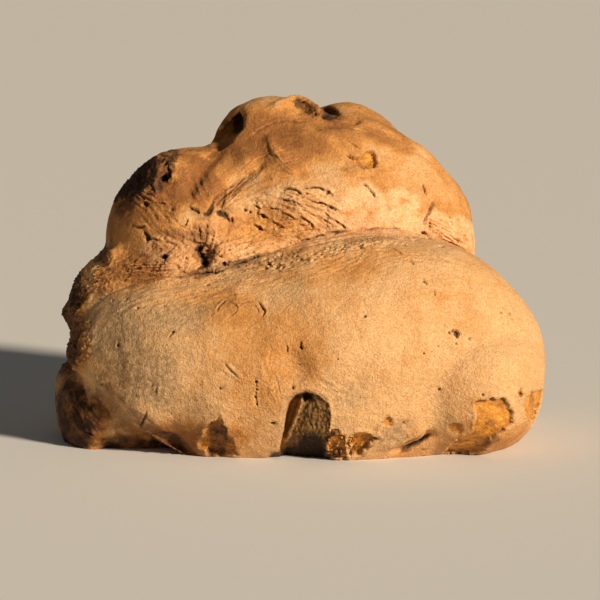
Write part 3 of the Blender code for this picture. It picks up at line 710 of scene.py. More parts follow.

# Thin cracks with the crust lifted on one side: path, width, depth, how dark the painted shade in it is.
cracks = [
    ("photo", [(-10, 137.6), (-5, 139), (-1, 138), (4, 134.4)], 1.2, 1.7, 1.0),
    ("photo", [(-1, 138.6), (8, 139.8), (15, 137.6), (20, 133)], 1.0, 1.4, 0.9),
    ("photo", [(-12, 134), (-5, 133), (-1, 131.6), (5, 128.2)], 1.1, 1.6, 1.0),
    ("photo", [(4, 133.2), (12, 131.6), (17, 129.4), (24, 126)], 1.1, 1.6, 1.0),
    ("photo", [(-1, 127.4), (4.3, 122.8), (6.9, 120.6), (8.4, 116.4)], 1.1, 1.6, 0.95),
    ("photo", [(-9.6, 127.2), (-5, 125.6), (-1, 123)], 1.1, 1.4, 0.9),
    ("photo", [(-22, 127.4), (-18.4, 125.6), (-14.6, 123.2)], 1.2, 1.6, 1.0),
    ("photo", [(-23.6, 121), (-20, 119.2), (-16.4, 117.4)], 1.1, 1.4, 1.0),
    ("photo", [(-14.6, 122.6), (-10.4, 121), (-6, 118.4)], 1.0, 1.2, 0.8),
    ("photo", [(-24, 131.6), (-21.4, 130.2), (-19, 128.4)], 1.1, 1.2, 0.9),
    ("photo", [(-15.8, 130), (-12.4, 129), (-8.6, 128.2)], 1.0, 1.2, 0.9),
    ("photo", [(17.6, 123), (21.6, 120.8), (25.4, 118)], 1.0, 1.3, 0.8),
    ("photo", [(-8, 108.6), (-2, 110.6), (9, 114.6), (20, 116.8), (32, 118.2)], 1.5, 1.3, 0.85),
    ("photo", [(26, 117.8), (40, 118.8), (50, 118.6), (62, 116.4)], 1.1, 0.9, 0.7),
    ("photo", [(30.4, 141.8), (34.5, 140.6), (37.6, 137), (40.1, 133.2)], 1.2, 1.5, 0.8),
    ("photo", [(63.1, 142.8), (64.2, 139), (65.7, 134.2)], 0.9, 1.1, 0.8),
    ("photo", [(69, 134.6), (68.2, 130.4), (65.2, 124.2), (63.1, 118.6)], 1.7, 1.9, 0.8),
    ("photo", [(67.9, 125), (67, 121), (66.4, 118.4)], 1.1, 1.4, 0.9),
    ("photo", [(62.1, 117.4), (64.6, 116), (67.7, 112.6)], 2.0, 2.0, 0.8),
    ("photo", [(52, 114.8), (55, 114.2), (58, 113.3)], 1.2, 1.4, 0.9),
    ("photo", [(46.6, 109), (50, 107.6), (54.2, 104.6)], 0.8, 0.9, 0.7),
    ("photo", [(56.4, 103.6), (58, 101.6), (60, 99.8)], 1.1, 1.3, 0.9),
    ("photo", [(62.8, 92.8), (64.6, 91.4), (66.4, 89.8)], 1.0, 1.0, 0.8),
    ("photo", [(69.2, 87.6), (69.6, 86), (69.9, 84)], 0.8, 0.8, 0.6),
    ("photo", [(78.2, 123.2), (78.4, 121.6), (78.8, 119.8)], 1.0, 1.0, 0.8),
    ("photo", [(84.5, 117), (85.6, 114), (87.6, 111)], 0.9, 0.9, 0.6),
    ("photo", [(-84, 119.4), (-80, 119.4), (-77.6, 120.4)], 1.3, 1.5, 0.9),
    ("photo", [(-82, 114.6), (-74, 113.2), (-67, 111.8), (-61, 110.2)], 1.0, 1.1, 0.7),
    ("photo", [(-77, 131.6), (-70, 131.8), (-63.4, 130.2)], 0.9, 1.0, 0.8),
    ("photo", [(-57, 130.2), (-53.4, 128.4), (-49, 125.8)], 1.4, 1.6, 0.9),
    ("photo", [(-45, 131), (-40, 136.4), (-34, 140.4), (-30, 142.6)], 1.3, 1.3, 0.8),
    ("photo", [(-40.4, 127), (-38.8, 131), (-37.4, 135.6), (-33.4, 140)], 1.2, 1.2, 0.7),
    ("photo", [(-56.4, 124.4), (-57, 122), (-58, 119.6)], 1.0, 1.1, 0.7),
    ("photo", [(-34.6, 125.4), (-34, 123.4), (-33.6, 120.8)], 1.1, 1.3, 0.8),
    ("photo", [(-67.4, 153), (-66.6, 150), (-65.6, 146), (-66, 142.6)], 1.6, 1.9, 0.9),
    ("photo", [(-76, 141.6), (-74, 138.6), (-73.2, 135.8)], 1.3, 1.5, 0.8),
    ("photo", [(-80.6, 138), (-78, 136.6), (-74.8, 136)], 1.2, 1.3, 0.8),
    ("photo", [(25.3, 163.8), (29.4, 160.6), (34.6, 158.8)], 0.9, 0.8, 0.5),
    ("photo", [(14, 148.4), (25, 149.2), (40, 151)], 1.0, -0.5, 0.0),
    ("photo", [(-62, 93.2), (-53.4, 95.2), (-41.2, 96.8), (-26.8, 102.4), (-16.6, 106), (-4.3, 107.7)],
     2.0, 2.6, 1.0),
    ("photo", [(12.2, 34), (15, 30), (16, 22.5), (15.2, 14), (13.8, 7)], 0.9, 1.2, 0.95),
    ("photo", [(10.5, 30.5), (12.6, 26), (13.4, 20)], 0.8, 0.6, 0.7),
    ("photo", [(12, 41), (17, 38.6), (24, 34)], 0.9, 0.35, 0.25),
    ("photo", [(18.4, 37), (19.4, 36), (20.2, 34.6)], 0.8, 0.8, 0.7),
    ("photo", [(-46, 126), (-41, 132), (-35, 137), (-28, 144), (-17, 152)], 1.1, 1.1, 0.6),
    ("photo", [(-44, 131.4), (-39, 136), (-31, 141), (-22, 149)], 1.0, -0.5, 0.0),
    ("photo", [(-41, 127), (-36, 130), (-30, 136), (-24, 141)], 0.9, 0.8, 0.6),
    ("photo", [(-52, 121), (-50, 117), (-50.6, 112)], 1.0, 1.1, 0.8),
    ("photo", [(-47, 122), (-46.4, 117), (-48, 111)], 1.0, 1.1, 0.7),
    ("photo", [(-56, 119), (-53.4, 114), (-53, 109)], 0.9, 1.0, 0.7),
    ("photo", [(-43, 120), (-43.4, 115), (-45.6, 110)], 0.9, 0.8, 0.6),
    ("photo", [(-41.6, 168), (-37, 172.2), (-33.3, 176)], 1.2, -0.9, 0.0),
    ("photo", [(-17, 164), (-10, 155), (-3, 148.5)], 1.0, -0.5, 0.0),
    ("photo", [(-52, 149), (-46, 156), (-41, 160)], 1.0, 0.7, 0.4),
    ("photo", [(-4.3, 107.7), (8, 110.2), (24, 113.8), (38, 115.2), (52, 115.2)], 1.5, 1.5, 0.9),
    ("photo", [(-4.3, 102.7), (0.6, 103), (6, 102.6), (14, 104.6)], 1.0, 1.0, 0.8),
    ("photo", [(24, 108), (30, 109.4), (37, 113.6)], 0.9, 0.9, 0.7),
    ("photo", [(28, 99), (32, 104), (38, 112)], 0.9, -0.5, 0.0),
    ("photo", [(-41.7, 75.4), (-40.9, 78.4), (-38.1, 81.3), (-34.8, 82.4)], 1.0, 1.1, 0.9),
    ("photo", [(-36, 81.6), (-32.5, 80), (-31, 77.6), (-33.5, 74.6), (-36, 73)], 0.8, 0.7, 0.5),
    ("photo", [(-30.9, 78.2), (-28.9, 80.6), (-25.8, 81.6), (-22, 81.4)], 0.8, 0.7, 0.5),
    ("photo", [(-21.4, 82), (-18.8, 79.2), (-17.5, 76.4), (-18.4, 72.8)], 1.1, 1.2, 0.9),
    ("photo", [(-22.6, 80), (-20.8, 77.6), (-20.2, 74.4)], 0.7, 0.7, 0.6),
    ("photo", [(-38, 84.4), (-28, 85.4), (-18, 84.6)], 1.2, -0.5, 0.0),
    ("photo", [(-67.4, 62.6), (-65.2, 64.4), (-62.6, 67.2)], 0.9, 1.0, 0.8),
    ("photo", [(-77.4, 26.6), (-78.8, 22), (-82.2, 15)], 1.2, 1.2, 0.8),
    ("photo", [(-71.2, 39.8), (-72.4, 36.4), (-73, 32.8)], 0.8, 0.7, 0.5),
    ("photo", [(-105, 42.6), (-101.4, 40.8), (-97.4, 41.2)], 1.4, -1.1, 0.0),
    ("photo", [(-105.6, 41), (-102, 39.2), (-98, 39.4)], 1.0, 1.1, 0.8),
    ("photo", [(-39.4, 51), (-35, 46.5), (-29.9, 41.9)], 1.3, 0.8, 0.5),
    ("photo", [(1.6, 61.6), (1.4, 59.6), (1.2, 57.8)], 0.9, 1.2, 0.9),
    ("photo", [(-6.6, 60), (-5.6, 57.6), (-6.4, 55)], 0.9, 1.0, 0.7),
    ("photo", [(-21.6, 42.4), (-21.2, 38.3), (-21.8, 34.3), (-21.4, 30.2), (-20.9, 26.4)], 0.7, 0.8, 0.6),
    ("photo", [(49.8, 4), (56, 7.7), (62.1, 10.7), (68.8, 15.2)], 3.4, 4.2, 1.0),
    ("photo", [(49, 7.6), (55, 11.2), (61, 14.6), (67.4, 17.8)], 2.4, -1.1, 0.0),
    ("photo", [(-111, 15), (-107.6, 14.4), (-104, 12.4)], 1.2, 1.3, 0.9),
    ("photo", [(-118, 30), (-113, 26), (-110, 20)], 1.2, 1.2, 0.6),
    ("photo", [(104, 81), (112, 70.6), (117.3, 62), (121, 52)], 1.6, -0.5, 0.0),
    ("photo", [(98, 84), (106, 77), (113, 66)], 1.2, 0.6, 0.3),
    ((180, 10), [(-88, 60), (-70, 56), (-48, 50), (-20, 47)], 2.0, 2.0, 0.8),
    ((180, 10), [(-18, 148), (-14, 132), (-20, 118)], 1.4, 1.3, 0.7),
    ((180, 10), [(20, 112), (30, 108), (36, 98)], 1.3, 1.2, 0.7),
    ((180, 10), [(-60, 96), (-52, 88), (-50, 76)], 1.3, 1.2, 0.7),
    ((90, 10), [(38, 120), (46, 104), (44, 90)], 1.3, 1.2, 0.7),
    ((270, 10), [(10, 118), (2, 104), (-8, 96)], 1.4, 1.4, 0.8),
    ((270, 10), [(-52, 96), (-44, 82), (-46, 66)], 1.3, 1.2, 0.7),
    ((0, 80), [(-30, 30), (-10, 36), (10, 34)], 1.3, 1.2, 0.6),
]

# Pits and pinholes: place in the photograph's view, radius, depth.
pits = [
    (81, 65.1, 1.7, 2.6), (79.4, 66.6, 1.0, 1.6), (77.4, 65.7, 0.9, 1.4), (81, 60, 0.8, 1.0),
    (87.6, 62.4, 0.8, 0.8), (64.2, 54.9, 0.6, 0.7), (71.8, 36.6, 0.9, 1.1), (94.3, 33.9, 0.7, 0.9),
    (34, 74.1, 0.9, 1.1), (104, 76, 0.8, 1.0), (107.9, 75.6, 0.9, 1.1), (1.3, 57.8, 1.0, 1.3),
    (20.2, 52.1, 0.7, 0.7), (-2.8, 37.5, 0.9, 1.0), (45.8, 20.6, 1.2, 2.2), (53.9, 19.4, 0.8, 1.0),
    (118.9, 21, 1.0, 1.4), (113.7, 34.2, 1.2, 2.0), (-46.8, 90, 1.0, 1.2), (-92.3, 59.3, 1.0, 1.2),
    (-40, 37, 0.8, 1.0), (-64, 66, 0.8, 0.8), (-88, 83, 0.8, 1.0), (-95, 82, 0.8, 1.0),
    (-21.6, 40.4, 0.7, 1.1), (-21.3, 36.6, 0.7, 1.1), (-21.7, 32.6, 0.7, 1.1), (-21.2, 29, 0.6, 1.0),
    (-68.8, 144.2, 1.8, 2.4), (-62.6, 154.4, 0.9, 1.3), (-65.7, 158, 1.0, 1.3), (-78.5, 131, 1.7, 1.8),
    (-64.8, 128.4, 1.1, 1.6), (-77, 114, 1.5, 2.2), (-68.8, 104.3, 1.5, 1.8), (-27.3, 128.3, 1.0, 1.2),
    (-24.8, 127.3, 0.9, 1.2), (-21.7, 131.9, 0.8, 1.0), (-18.1, 125.2, 1.0, 1.3), (-11.5, 129.3, 0.8, 0.9),
    (-19.7, 119.1, 0.9, 1.0), (-24.8, 102.7, 1.1, 1.4), (-15.6, 100.6, 1.5, 2.2), (-11, 99.4, 1.7, 2.4),
    (-13.4, 102.2, 1.0, 1.5), (-8, 98.6, 1.0, 1.2), (-43.4, 107.4, 1.0, 1.3), (-40, 104.6, 1.1, 1.4),
    (-43, 102, 1.0, 1.3), (-38, 100.6, 1.0, 1.3), (-46, 108.4, 1.0, 1.4), (-57, 104, 1.0, 1.2),
    (19.1, 14.6, 1.8, 2.4), (19.9, 4.3, 1.6, 2.2), (-13, 19, 1.2, 1.6), (0.3, 177.9, 1.0, 1.6),
    (13, 176.2, 1.2, 2.0), (2.3, 183.8, 0.9, 1.3), (5.4, 179.2, 0.8, 1.2), (8.4, 177.4, 0.9, 1.3),
    (30.4, 181, 0.9, 1.2), (54, 110.4, 1.1, 1.5), (73.4, 109.8, 1.3, 1.8), (15, 137, 1.0, 1.4),
    (22.4, 11.6, 1.3, 1.8), (21, 4.6, 1.3, 1.8), (101, 19, 0.8, 1.0), (96.6, 25, 1.0, 1.2),
    (108.6, 19.6, 0.9, 1.2), (92.6, 27.4, 1.3, 0.9), (38, 114.4, 0.9, 1.3), (30, 110, 0.8, 1.1),
    (22, 108, 0.8, 1.0), (14, 105.6, 0.8, 1.0), (4, 105, 0.8, 1.0),
]

# The same sort of pits, strewn over the crust that the photograph doesn't show too.
strewn = {"seed": 11, "pits": 200, "smallest": 0.35, "largest": 0.75, "cracks": 46, "crackLength": 7.0}

# Where the crust is burnt, floury, torn to its orange or well baked, and where painted shade darkens its
# shaded left side, base, valleys and seams: view, middle, half sizes, turn, amount.
patches = {
    "burnt": [
        ("photo", (-70, 149), (9, 12), -20, 0.75),
        ("photo", (-66, 156), (6, 5), 30, 0.8),
        # painted shade on the knob's left face, the left edges of head and fold, the left foot and the base,
        # over partly burnt crust
        ("photo", (-84, 144), (10, 15), -38, 1.0),
        ("photo", (-76, 138), (8, 4), 40, 0.6),
        ("photo", (-88, 131), (9, 4), 35, 0.6),
        ("photo", (-117, 88), (8, 13), 25, 0.85),
        ("photo", (-119, 60), (8, 20), 0, 0.7),
        ("photo", (-103, 112), (6, 16), 15, 0.75),
        ("photo", (-116, 18), (15, 26), 0, 0.85),
        ("photo", (-84, 6), (26, 9), -6, 0.85),
        ("photo", (-62, 5), (14, 6), -10, 0.6),
        ("photo", (-42, 10), (7, 11), 0, 0.7),
        ("photo", (-96, 34), (9, 24), -12, 0.40),
        ("photo", (-82, 18), (17, 11), -18, 0.45),
        ("photo", (-66, 9), (12, 7), -35, 0.75),
        # burnt crust on the crown
        ("photo", (4, 180), (10, 3.0), -32, 0.8),
        ("photo", (15, 176), (5, 2.6), -30, 0.8),
        ("photo", (30, 151), (9, 4), 20, 0.35),
        ("photo", (-52, 127), (8, 3), -25, 0.4),
        ("photo", (-49, 110), (8, 12), 0, 0.4),
        ("photo", (-6, 105), (36, 1.6), 19, 0.35),
        # painted shade along the head's valleys
        ("photo", (-50, 147), (4.5, 15), -22, 0.36),
        ("photo", (-62, 139), (5, 8), -30, 0.3),
        ("photo", (-34, 138), (13, 3), 42, 0.36),
        ("photo", (-13, 156), (3, 11), 22, 0.3),
        # painted shade along the seam under the torn band
        ("photo", (-40, 98.5), (26, 2.6), 12, 0.5),
        ("photo", (-62, 116), (12, 3), -6, 0.36),
        ("photo", (-36, 128), (10, 2.6), 0, 0.36),
        # painted shade along the seam where the flap meets the fold
        ("photo", (42, 113.5), (24, 1.2), 3, 0.3),
        ("photo", (21, 5), (6, 6), 0, 0.35),
        # painted shade in the slanted crease at the base
        ("photo", (60, 10), (12, 3), 30, 0.55),
        ("photo", (92, 8), (14, 3), 20, 0.35),
        ((180, 10), (-40, 130), (16, 8), 20, 0.45),
        ((180, 10), (-74, 52), (16, 4), -10, 0.5),
        ((270, 10), (-24, 106), (12, 7), 30, 0.45),
        ((90, 10), (40, 96), (14, 6), 50, 0.35),
        ((0, 85), (20, 20), (14, 8), 20, 0.3),
    ],
    "flour": [
        ("photo", (-78, 44), (30, 36), -14, 0.95),
        ("photo", (-88, 60), (28, 30), 10, 0.85),
        ("photo", (-62, 72), (36, 14), 12, 0.7),
        ("photo", (-52, 30), (26, 22), 0, 0.45),
        ("photo", (26, 34), (16, 12), 0, 0.6),
        ("photo", (50, 14), (18, 9), 30, 0.75),
        ("photo", (78, 18), (12, 8), 0, 0.5),
        ((270, 5), (10, 30), (60, 34), 0, 0.8),
        ((180, 5), (0, 26), (110, 26), 0, 0.7),
        ((90, 5), (10, 26), (70, 26), 0, 0.5),
    ],
    "flake": [  # the torn dough's orange
        ("photo", (-18, 120), (40, 14), 6, 0.58),
        ("photo", (34, 122), (26, 10), 0, 0.2),
        ("photo", (24, 106), (40, 5), 6, 0.25),
    ],
    "bakeAndShade": [  # how brown the baked skin is beyond its usual golden tan, and painted shade on its shaded left side and base
        ("photo", (-20, 164), (54, 26), 0, 0.75),
        # on the head's left side: browner baking, and painted shade where that side turns from the light
        ("photo", (-75, 135), (34, 24), 30, 0.8),
        ("photo", (-52, 144), (20, 20), -20, 0.95),
        ("photo", (-56, 112), (20, 14), 0, 0.75),
        ("photo", (-80, 102), (34, 15), 20, 0.9),
        ("photo", (-20, 118), (44, 18), 0, 0.32),
        ("photo", (44, 146), (34, 16), 0, 0.35),
        # painted shade along the base, with a darker baked underside
        ("photo", (-60, 10), (40, 12), 0, 0.8),
        ("photo", (40, 172), (34, 14), -30, 0.6),
        # painted shade on the loaf's shaded left edge and foot
        ("photo", (-117, 66), (12, 44), 0, 0.9),
        ("photo", (-112, 16), (20, 20), 0, 0.9),
        ("photo", (-36, 76), (28, 12), 0, 0.45),
        ("photo", (-20, 52), (50, 40), 0, 0.3),
        ("photo", (20, 98), (56, 9), 10, 0.3),
        ("photo", (58, 66), (10, 30), 0, 0.2),
        ("photo", (96, 12), (30, 10), 0, 0.3),
        ((180, 10), (0, 120), (80, 44), 0, 0.65),
        ((180, 10), (50, 60), (30, 16), 20, 0.35),
        ((270, 10), (10, 100), (44, 30), 0, 0.6),
        ((90, 10), (20, 110), (40, 30), 0, 0.45),
        ((0, 85), (0, 20), (60, 30), 0, 0.6),
    ],
}

patchEdges = {"burnt": 0.5, "bakeAndShade": 0.8, "flake": 0.9, "flour": 1.1}  # how soft each kind's edge is


def paintPatches(crust):
    rough = crust.wavy(13, 31)
    small = crust.wavy(3.4, 32)
    for name, rows in patches.items():
        for view, middle, half, turn, amount in rows:
            flat, _ = crust.seen(view)
            toEye = photoEye() - crust.points if view == "photo" else viewAxes(view)[2][None, :]
            towards = (crust.normals * toEye).sum(1) / np.linalg.norm(toEye, axis=1)
            # a patch in the photograph fades out just past the loaf's edge, one in another view before it
            fade = ease((towards + 0.35) / 0.35) if view == "photo" else ease((towards - 0.2) / 0.3)
            radius = ellipseRadius(flat, middle, half, turn)
            near = np.nonzero((radius < 2.2) & (fade > 0))[0]
            edge = 1.15 - radius[near] + 0.30 * rough[near] + (0.25 if name == "burnt" else 0.1) * small[near]
            crust.mark(name, near, amount * fade[near] * ease(edge / patchEdges[name]))


def wantDetail(crust):
    # the points near cracks, pits, blister rims and torn dough
    flat, facing = crust.seen("photo")
    wanted = np.zeros(len(crust.points), bool)
    rims = [blister["outline"] for blister in blisters] + openings["knotRims"]
    rims += [openings["hollowRim"], openings["pocketRim"], openings["notchRim"]]
    crumbly = [tear["outline"] for tear in tears if tear["crumb"] + tear["loose"] > 0.4]
    for rim, reach in [(rim, 2.5) for rim in rims] + [(outline, -1) for outline in crumbly]:
        near = nearOutline(flat, facing, rim, reach)
        wanted[near] |= toOutline(flat[near], rim) > -reach
    for view, corners, width, _, _ in cracks:
        wanted[crust.fromPath(crust.path(view, corners), 1.5 + width)[0]] = True
    for view, corners, halfWidth, spacing, _ in flowLines:
        if spacing < 2.0:
            wanted[crust.fromPath(crust.path(view, corners), 0.8 * halfWidth)[0]] = True
    for x, h, radius, _ in pits:
        offset = np.abs(crust.points - crust.place("photo", x, h))
        wanted |= (offset < 2 * radius + 0.6).all(1)
    return wanted


def ridged(values):
    return 1 - 2 * np.abs(values)


# The torn dough's layers: (x, h) along one of them, and millimetres from one to the next.
tornLayers = {
    "run": [
        (-125, -40), (-110, -28), (-90, -13), (-70, -2), (-50, 7), (-30, 13), (-10, 16), (10, 16), (30, 12),
        (70, 2),
    ],
    "spacing": 4.6,
}


def wrinkleSkin(crust):
    # small waves all over, and finer upright ones where the flour lies
    upright = ridged(crust.wavy(2.6, 41, stretch=(1.6, 1.3, 0.6)))
    level = ridged(crust.wavy(3.4, 44, stretch=(0.5, 0.8, 1.5)))
    flour = crust.marks["flour"]
    floury = 0.14 * upright + 0.16 * crust.wavy(1.9, 43)
    crust.push(0.22 * crust.wavy(5.5, 42) + flour * floury + 0.10 * (1 - flour) * level)


def tearDough(crust):
    # layers of stretched dough, loose lumps, and painted shade under both
    flat, facing = crust.seen("photo")
    coarse = crust.wavy(9.0, 2)
    lumps = ridged(crust.wavy(3.4, 5))
    fine = crust.wavy(1.5, 4, octaves=2)
    run = np.interp(flat[:, 0], *np.transpose(tornLayers["run"]))
    phase = (flat[:, 1] - run) / tornLayers["spacing"] + 0.8 * coarse + 0.25 * crust.wavy(3.0, 7)
    step = phase - np.floor(phase)
    layers = np.where(step < 0.86, step / 0.86, (1 - step) / 0.14)  # each layer laps over the one below
    layers = (layers - 0.5) * ease(1.6 * crust.wavy(11, 9) + 0.6)
    crumb = np.zeros(len(crust.points))
    loose = np.zeros(len(crust.points))
    for tear in tears:
        near = nearOutline(flat, facing, tear["outline"], 8)
        gap = toOutline(flat[near] + 3.0 * coarse[near, None], tear["outline"])
        inside = ease(gap / tear["soft"] + 0.5)
        crust.mark("torn", near, tear["torn"] * inside)
        crumb[near] = np.maximum(crumb[near], tear["crumb"] * inside)
        loose[near] = np.maximum(loose[near], tear["loose"] * inside)
    amounts = crumb * (1.5 * layers + 0.45 * coarse + 0.50 * fine) + loose * (0.9 * lumps + 0.45 * fine - 0.5)
    crust.push(amounts)
    # painted shade under each layer's lapped edge and in the gaps between loose lumps
    under = np.exp(-(((step - 0.97) / 0.05) ** 2)) * ease(4 * np.abs(layers) - 0.6) * ease(crumb / 0.4)
    deep = ease((-0.9 * lumps * loose - 0.25) / 0.5)
    crust.mark("paintedShade", np.arange(len(under)), np.maximum(0.4 * under, 0.75 * deep))


def drawFlowLines(crust):
    # fine ridges that follow each path
    amounts = np.zeros(len(crust.points))
    for number, (view, corners, halfWidth, spacing, depth) in enumerate(flowLines):
        path = crust.path(view, corners)
        index, distance, share, side = crust.fromPath(path, halfWidth * 1.3)
        length = float(np.linalg.norm(np.diff(path, axis=0), axis=1).sum())
        across = distance * side / spacing
        along = share * length / (9 * spacing)
        lines = np.array([noise.fractal((a, b, number * 7.7), 1.0, 2.0, 2) for a, b in zip(across, along)])
        fade = (1 - ease(distance / halfWidth - 0.3)) * taper(share, 0.25)
        amounts[index] += depth * fade * (1.1 * ridged(lines) - 0.6)
    crust.push(1.6 * amounts)


def openCracks(crust):
    amounts = np.zeros(len(crust.points))
    for number, (view, corners, width, depth, dark) in enumerate(cracks):
        index, distance, share, side = crust.fromPath(crust.path(view, corners, 1.0), width * 3, 0.5, number)
        beat = np.array([noise.noise((s * len(corners) * 3.1, number * 3.7, 0.5)) for s in share])
        fade = taper(share, 0.3) * (0.95 + 0.35 * beat)
        half = 0.36 * width * (0.4 + 0.6 * fade)
        cut = np.exp(-((distance / np.maximum(half, 0.25)) ** 2))
        amounts[index] -= depth * cut * fade
        if depth > 0:
            lifted = np.exp(-(((distance - width) / (0.6 * width)) ** 2))
            amounts[index] += 0.45 * depth * fade * (side > 0) * lifted
        # painted shade down the middle of the cut
        crust.mark("paintedShade", index, dark * fade * np.exp(-((distance / (1.1 * half + 0.1)) ** 2)))
    crust.push(amounts)


def pressPits(crust):
    amounts = np.zeros(len(crust.points))
    centres = [(crust.place("photo", x, h), radius, depth, 0.85) for x, h, radius, depth in pits]
    rng = np.random.default_rng(strewn["seed"])
    above = np.nonzero(crust.points[:, 2] > 4)[0]
    for number in rng.choice(above, strewn["pits"], replace=False):
        radius = rng.uniform(strewn["smallest"], strewn["largest"])
        centres.append((crust.points[number].copy(), radius, 0.9 * radius, rng.uniform(0.2, 0.7)))
    for centre, radius, depth, dark in centres:
        near = np.nonzero((np.abs(crust.points - centre) < 3 * radius + 1).all(1))[0]
        offset = crust.points[near] - centre
        wobble = np.array([noise.noise(Vector(p) / 1.3) for p in crust.points[near]])
        distance = np.linalg.norm(offset, axis=1) * (1 + 0.45 * wobble)
        amounts[near] -= depth * (1 - ease((distance / radius - 0.5) / 0.8))
        # painted shade in each pit
        crust.mark("paintedShade", near, dark * (1 - ease((distance / radius - 0.45) / 0.6)))
    crust.push(amounts)


def strewCracks(crust):
    # short cracks on the sides and back, each with one side raised and painted shade along it
    rng = np.random.default_rng(strewn["seed"] + 1)
    amounts = np.zeros(len(crust.points))
    _, facing = crust.seen("photo")
    hidden = np.nonzero((crust.points[:, 2] > 12) & ~facing)[0]
    for number in rng.choice(hidden, strewn["cracks"], replace=False):
        start = crust.points[number]
        turn = np.cross(crust.normals[number], rng.normal(size=3))
        turn /= np.linalg.norm(turn)
        bend = np.cross(crust.normals[number], turn) * rng.uniform(-0.3, 0.3)
        steps = np.linspace(0, strewn["crackLength"] * rng.uniform(0.5, 1.3), 6)
        path = [start + turn * s + bend * s * s / strewn["crackLength"] for s in steps]
        path = np.array([crust.tree.find_nearest(Vector(p))[0] for p in path])
        index, distance, share, side = crust.fromPath(path, 3.0, 0.6, int(number))
        fade = taper(share, 0.35)
        amounts[index] -= 0.9 * np.exp(-((distance / 0.6) ** 2)) * fade
        amounts[index] += 0.3 * (side > 0) * np.exp(-(((distance - 1.1) / 0.7) ** 2)) * fade
        # painted shade in the cut
        crust.mark("paintedShade", index, 0.7 * fade * np.exp(-((distance / 0.6) ** 2)))
    crust.push(amounts)


crust.refine(wantDetail(crust))
print("crust refined:", len(crust.points), "points")
paintPatches(crust)
wrinkleSkin(crust)
markOpenings(crust)
tearDough(crust)
for blister in blisters:
    burstBlister(crust, **blister)
drawFlowLines(crust)
openCracks(crust)
strewCracks(crust)
pressPits(crust)
print("crust torn, lined and cracked")


def hollowness(crust, steps):
    # how far the skin around a point stands above it, in millimetres, over a growing neighbourhood
    count = len(crust.points)
    ends = np.empty(len(crust.obj.data.edges) * 2, np.int32)
    crust.obj.data.edges.foreach_get("vertices", ends)
    a, b = ends[0::2], ends[1::2]
    degree = np.bincount(a, minlength=count) + np.bincount(b, minlength=count)
    around = crust.points.copy()
    for _ in range(steps):
        sums = [np.bincount(a, around[b, i], count) + np.bincount(b, around[a, i], count) for i in range(3)]
        around = 0.5 * around + 0.5 * np.stack(sums, 1) / np.maximum(degree, 1)[:, None]
    return ((around - crust.points) * crust.normals).sum(1)


def cutBase(mesh, height):
    # cuts the loaf off flat and closes it
    shape = bmesh.new()
    shape.from_mesh(mesh)
    everything = shape.verts[:] + shape.edges[:] + shape.faces[:]
    bmesh.ops.bisect_plane(
        shape, geom=everything, plane_co=(0, 0, height), plane_no=(0, 0, -1), clear_outer=True)
    bmesh.ops.holes_fill(shape, edges=[edge for edge in shape.edges if edge.is_boundary])
    bmesh.ops.triangulate(shape, faces=shape.faces)
    shape.to_mesh(mesh)
    shape.free()


def thinOut(crust, triangles):
    # fewer triangles where the crust is smooth, and a flat base
    obj = crust.obj
    cutBase(obj.data, 0.0)
    collapse = obj.modifiers.new("thin", "DECIMATE")
    collapse.ratio = triangles / len(obj.data.polygons)
    applyModifiers(obj)
    cutBase(obj.data, 0.4)


# 0.5 is level, more is a hollow: painted shade in the hollows of the fine relief and of the folds, and
#                                 painted highlight on what stands above them
crust.marks["cavityShadeAndHighlight"] = 0.5 + 0.9 * hollowness(crust, 3)
crust.marks["foldShadeAndHighlight"] = 0.5 + 0.16 * hollowness(crust, 40)
finePoints, fineMarks = crust.points.copy(), crust.marks
thinOut(crust, loaf["triangles"])
crust.read()
# each point left takes the marks of the nearest point before
finder = kdtree.KDTree(len(finePoints))
for number, point in enumerate(finePoints.tolist()):
    finder.insert(point, number)
finder.balance()
nearest = np.array([finder.find(point)[1] for point in crust.points.tolist()])
for name, values in fineMarks.items():
    layer = bread.data.attributes.new(name, "FLOAT", "POINT")
    layer.data.foreach_set("value", np.clip(values[nearest], 0, 1).astype(np.float32))

# millimetres to metres, and to the middle of the solid's box
low, high = crust.points.min(0), crust.points.max(0)
boxMiddle = Vector(((cadBox[0][0] + cadBox[1][0]) / 2, (cadBox[0][1] + cadBox[1][1]) / 2, cadBox[0][2]))
shift = boxMiddle - Vector(((low[0] + high[0]) / 2, (low[1] + high[1]) / 2, low[2])) * mm
for vert in bread.data.vertices:
    vert.co = vert.co * mm + shift
bread.data.update()
bread.data.shade_smooth()
size = [round(v, 1) for v in (high - low).tolist()]
print("crust thinned:", len(bread.data.polygons), "triangles, size", size)


def hexColour(code):
    def toLinear(part):
        return part / 12.92 if part <= 0.04045 else ((part + 0.055) / 1.055) ** 2.4
    return (*[toLinear(int(code[i:i + 2], 16) / 255) for i in (1, 3, 5)], 1.0)


def addNode(tree, kind, output, links, **settings):
    # fills each input with a socket, a hex colour or a plain value, and gives back one output
    node = tree.nodes.new(kind)
    for name, value in settings.items():
        setattr(node, name, value)
    for socket, source in links.items():
        if isinstance(source, bpy.types.NodeSocket):
            tree.links.new(source, node.inputs[socket])
        else:
            node.inputs[socket].default_value = hexColour(source) if isinstance(source, str) else source
    return node.outputs[output]


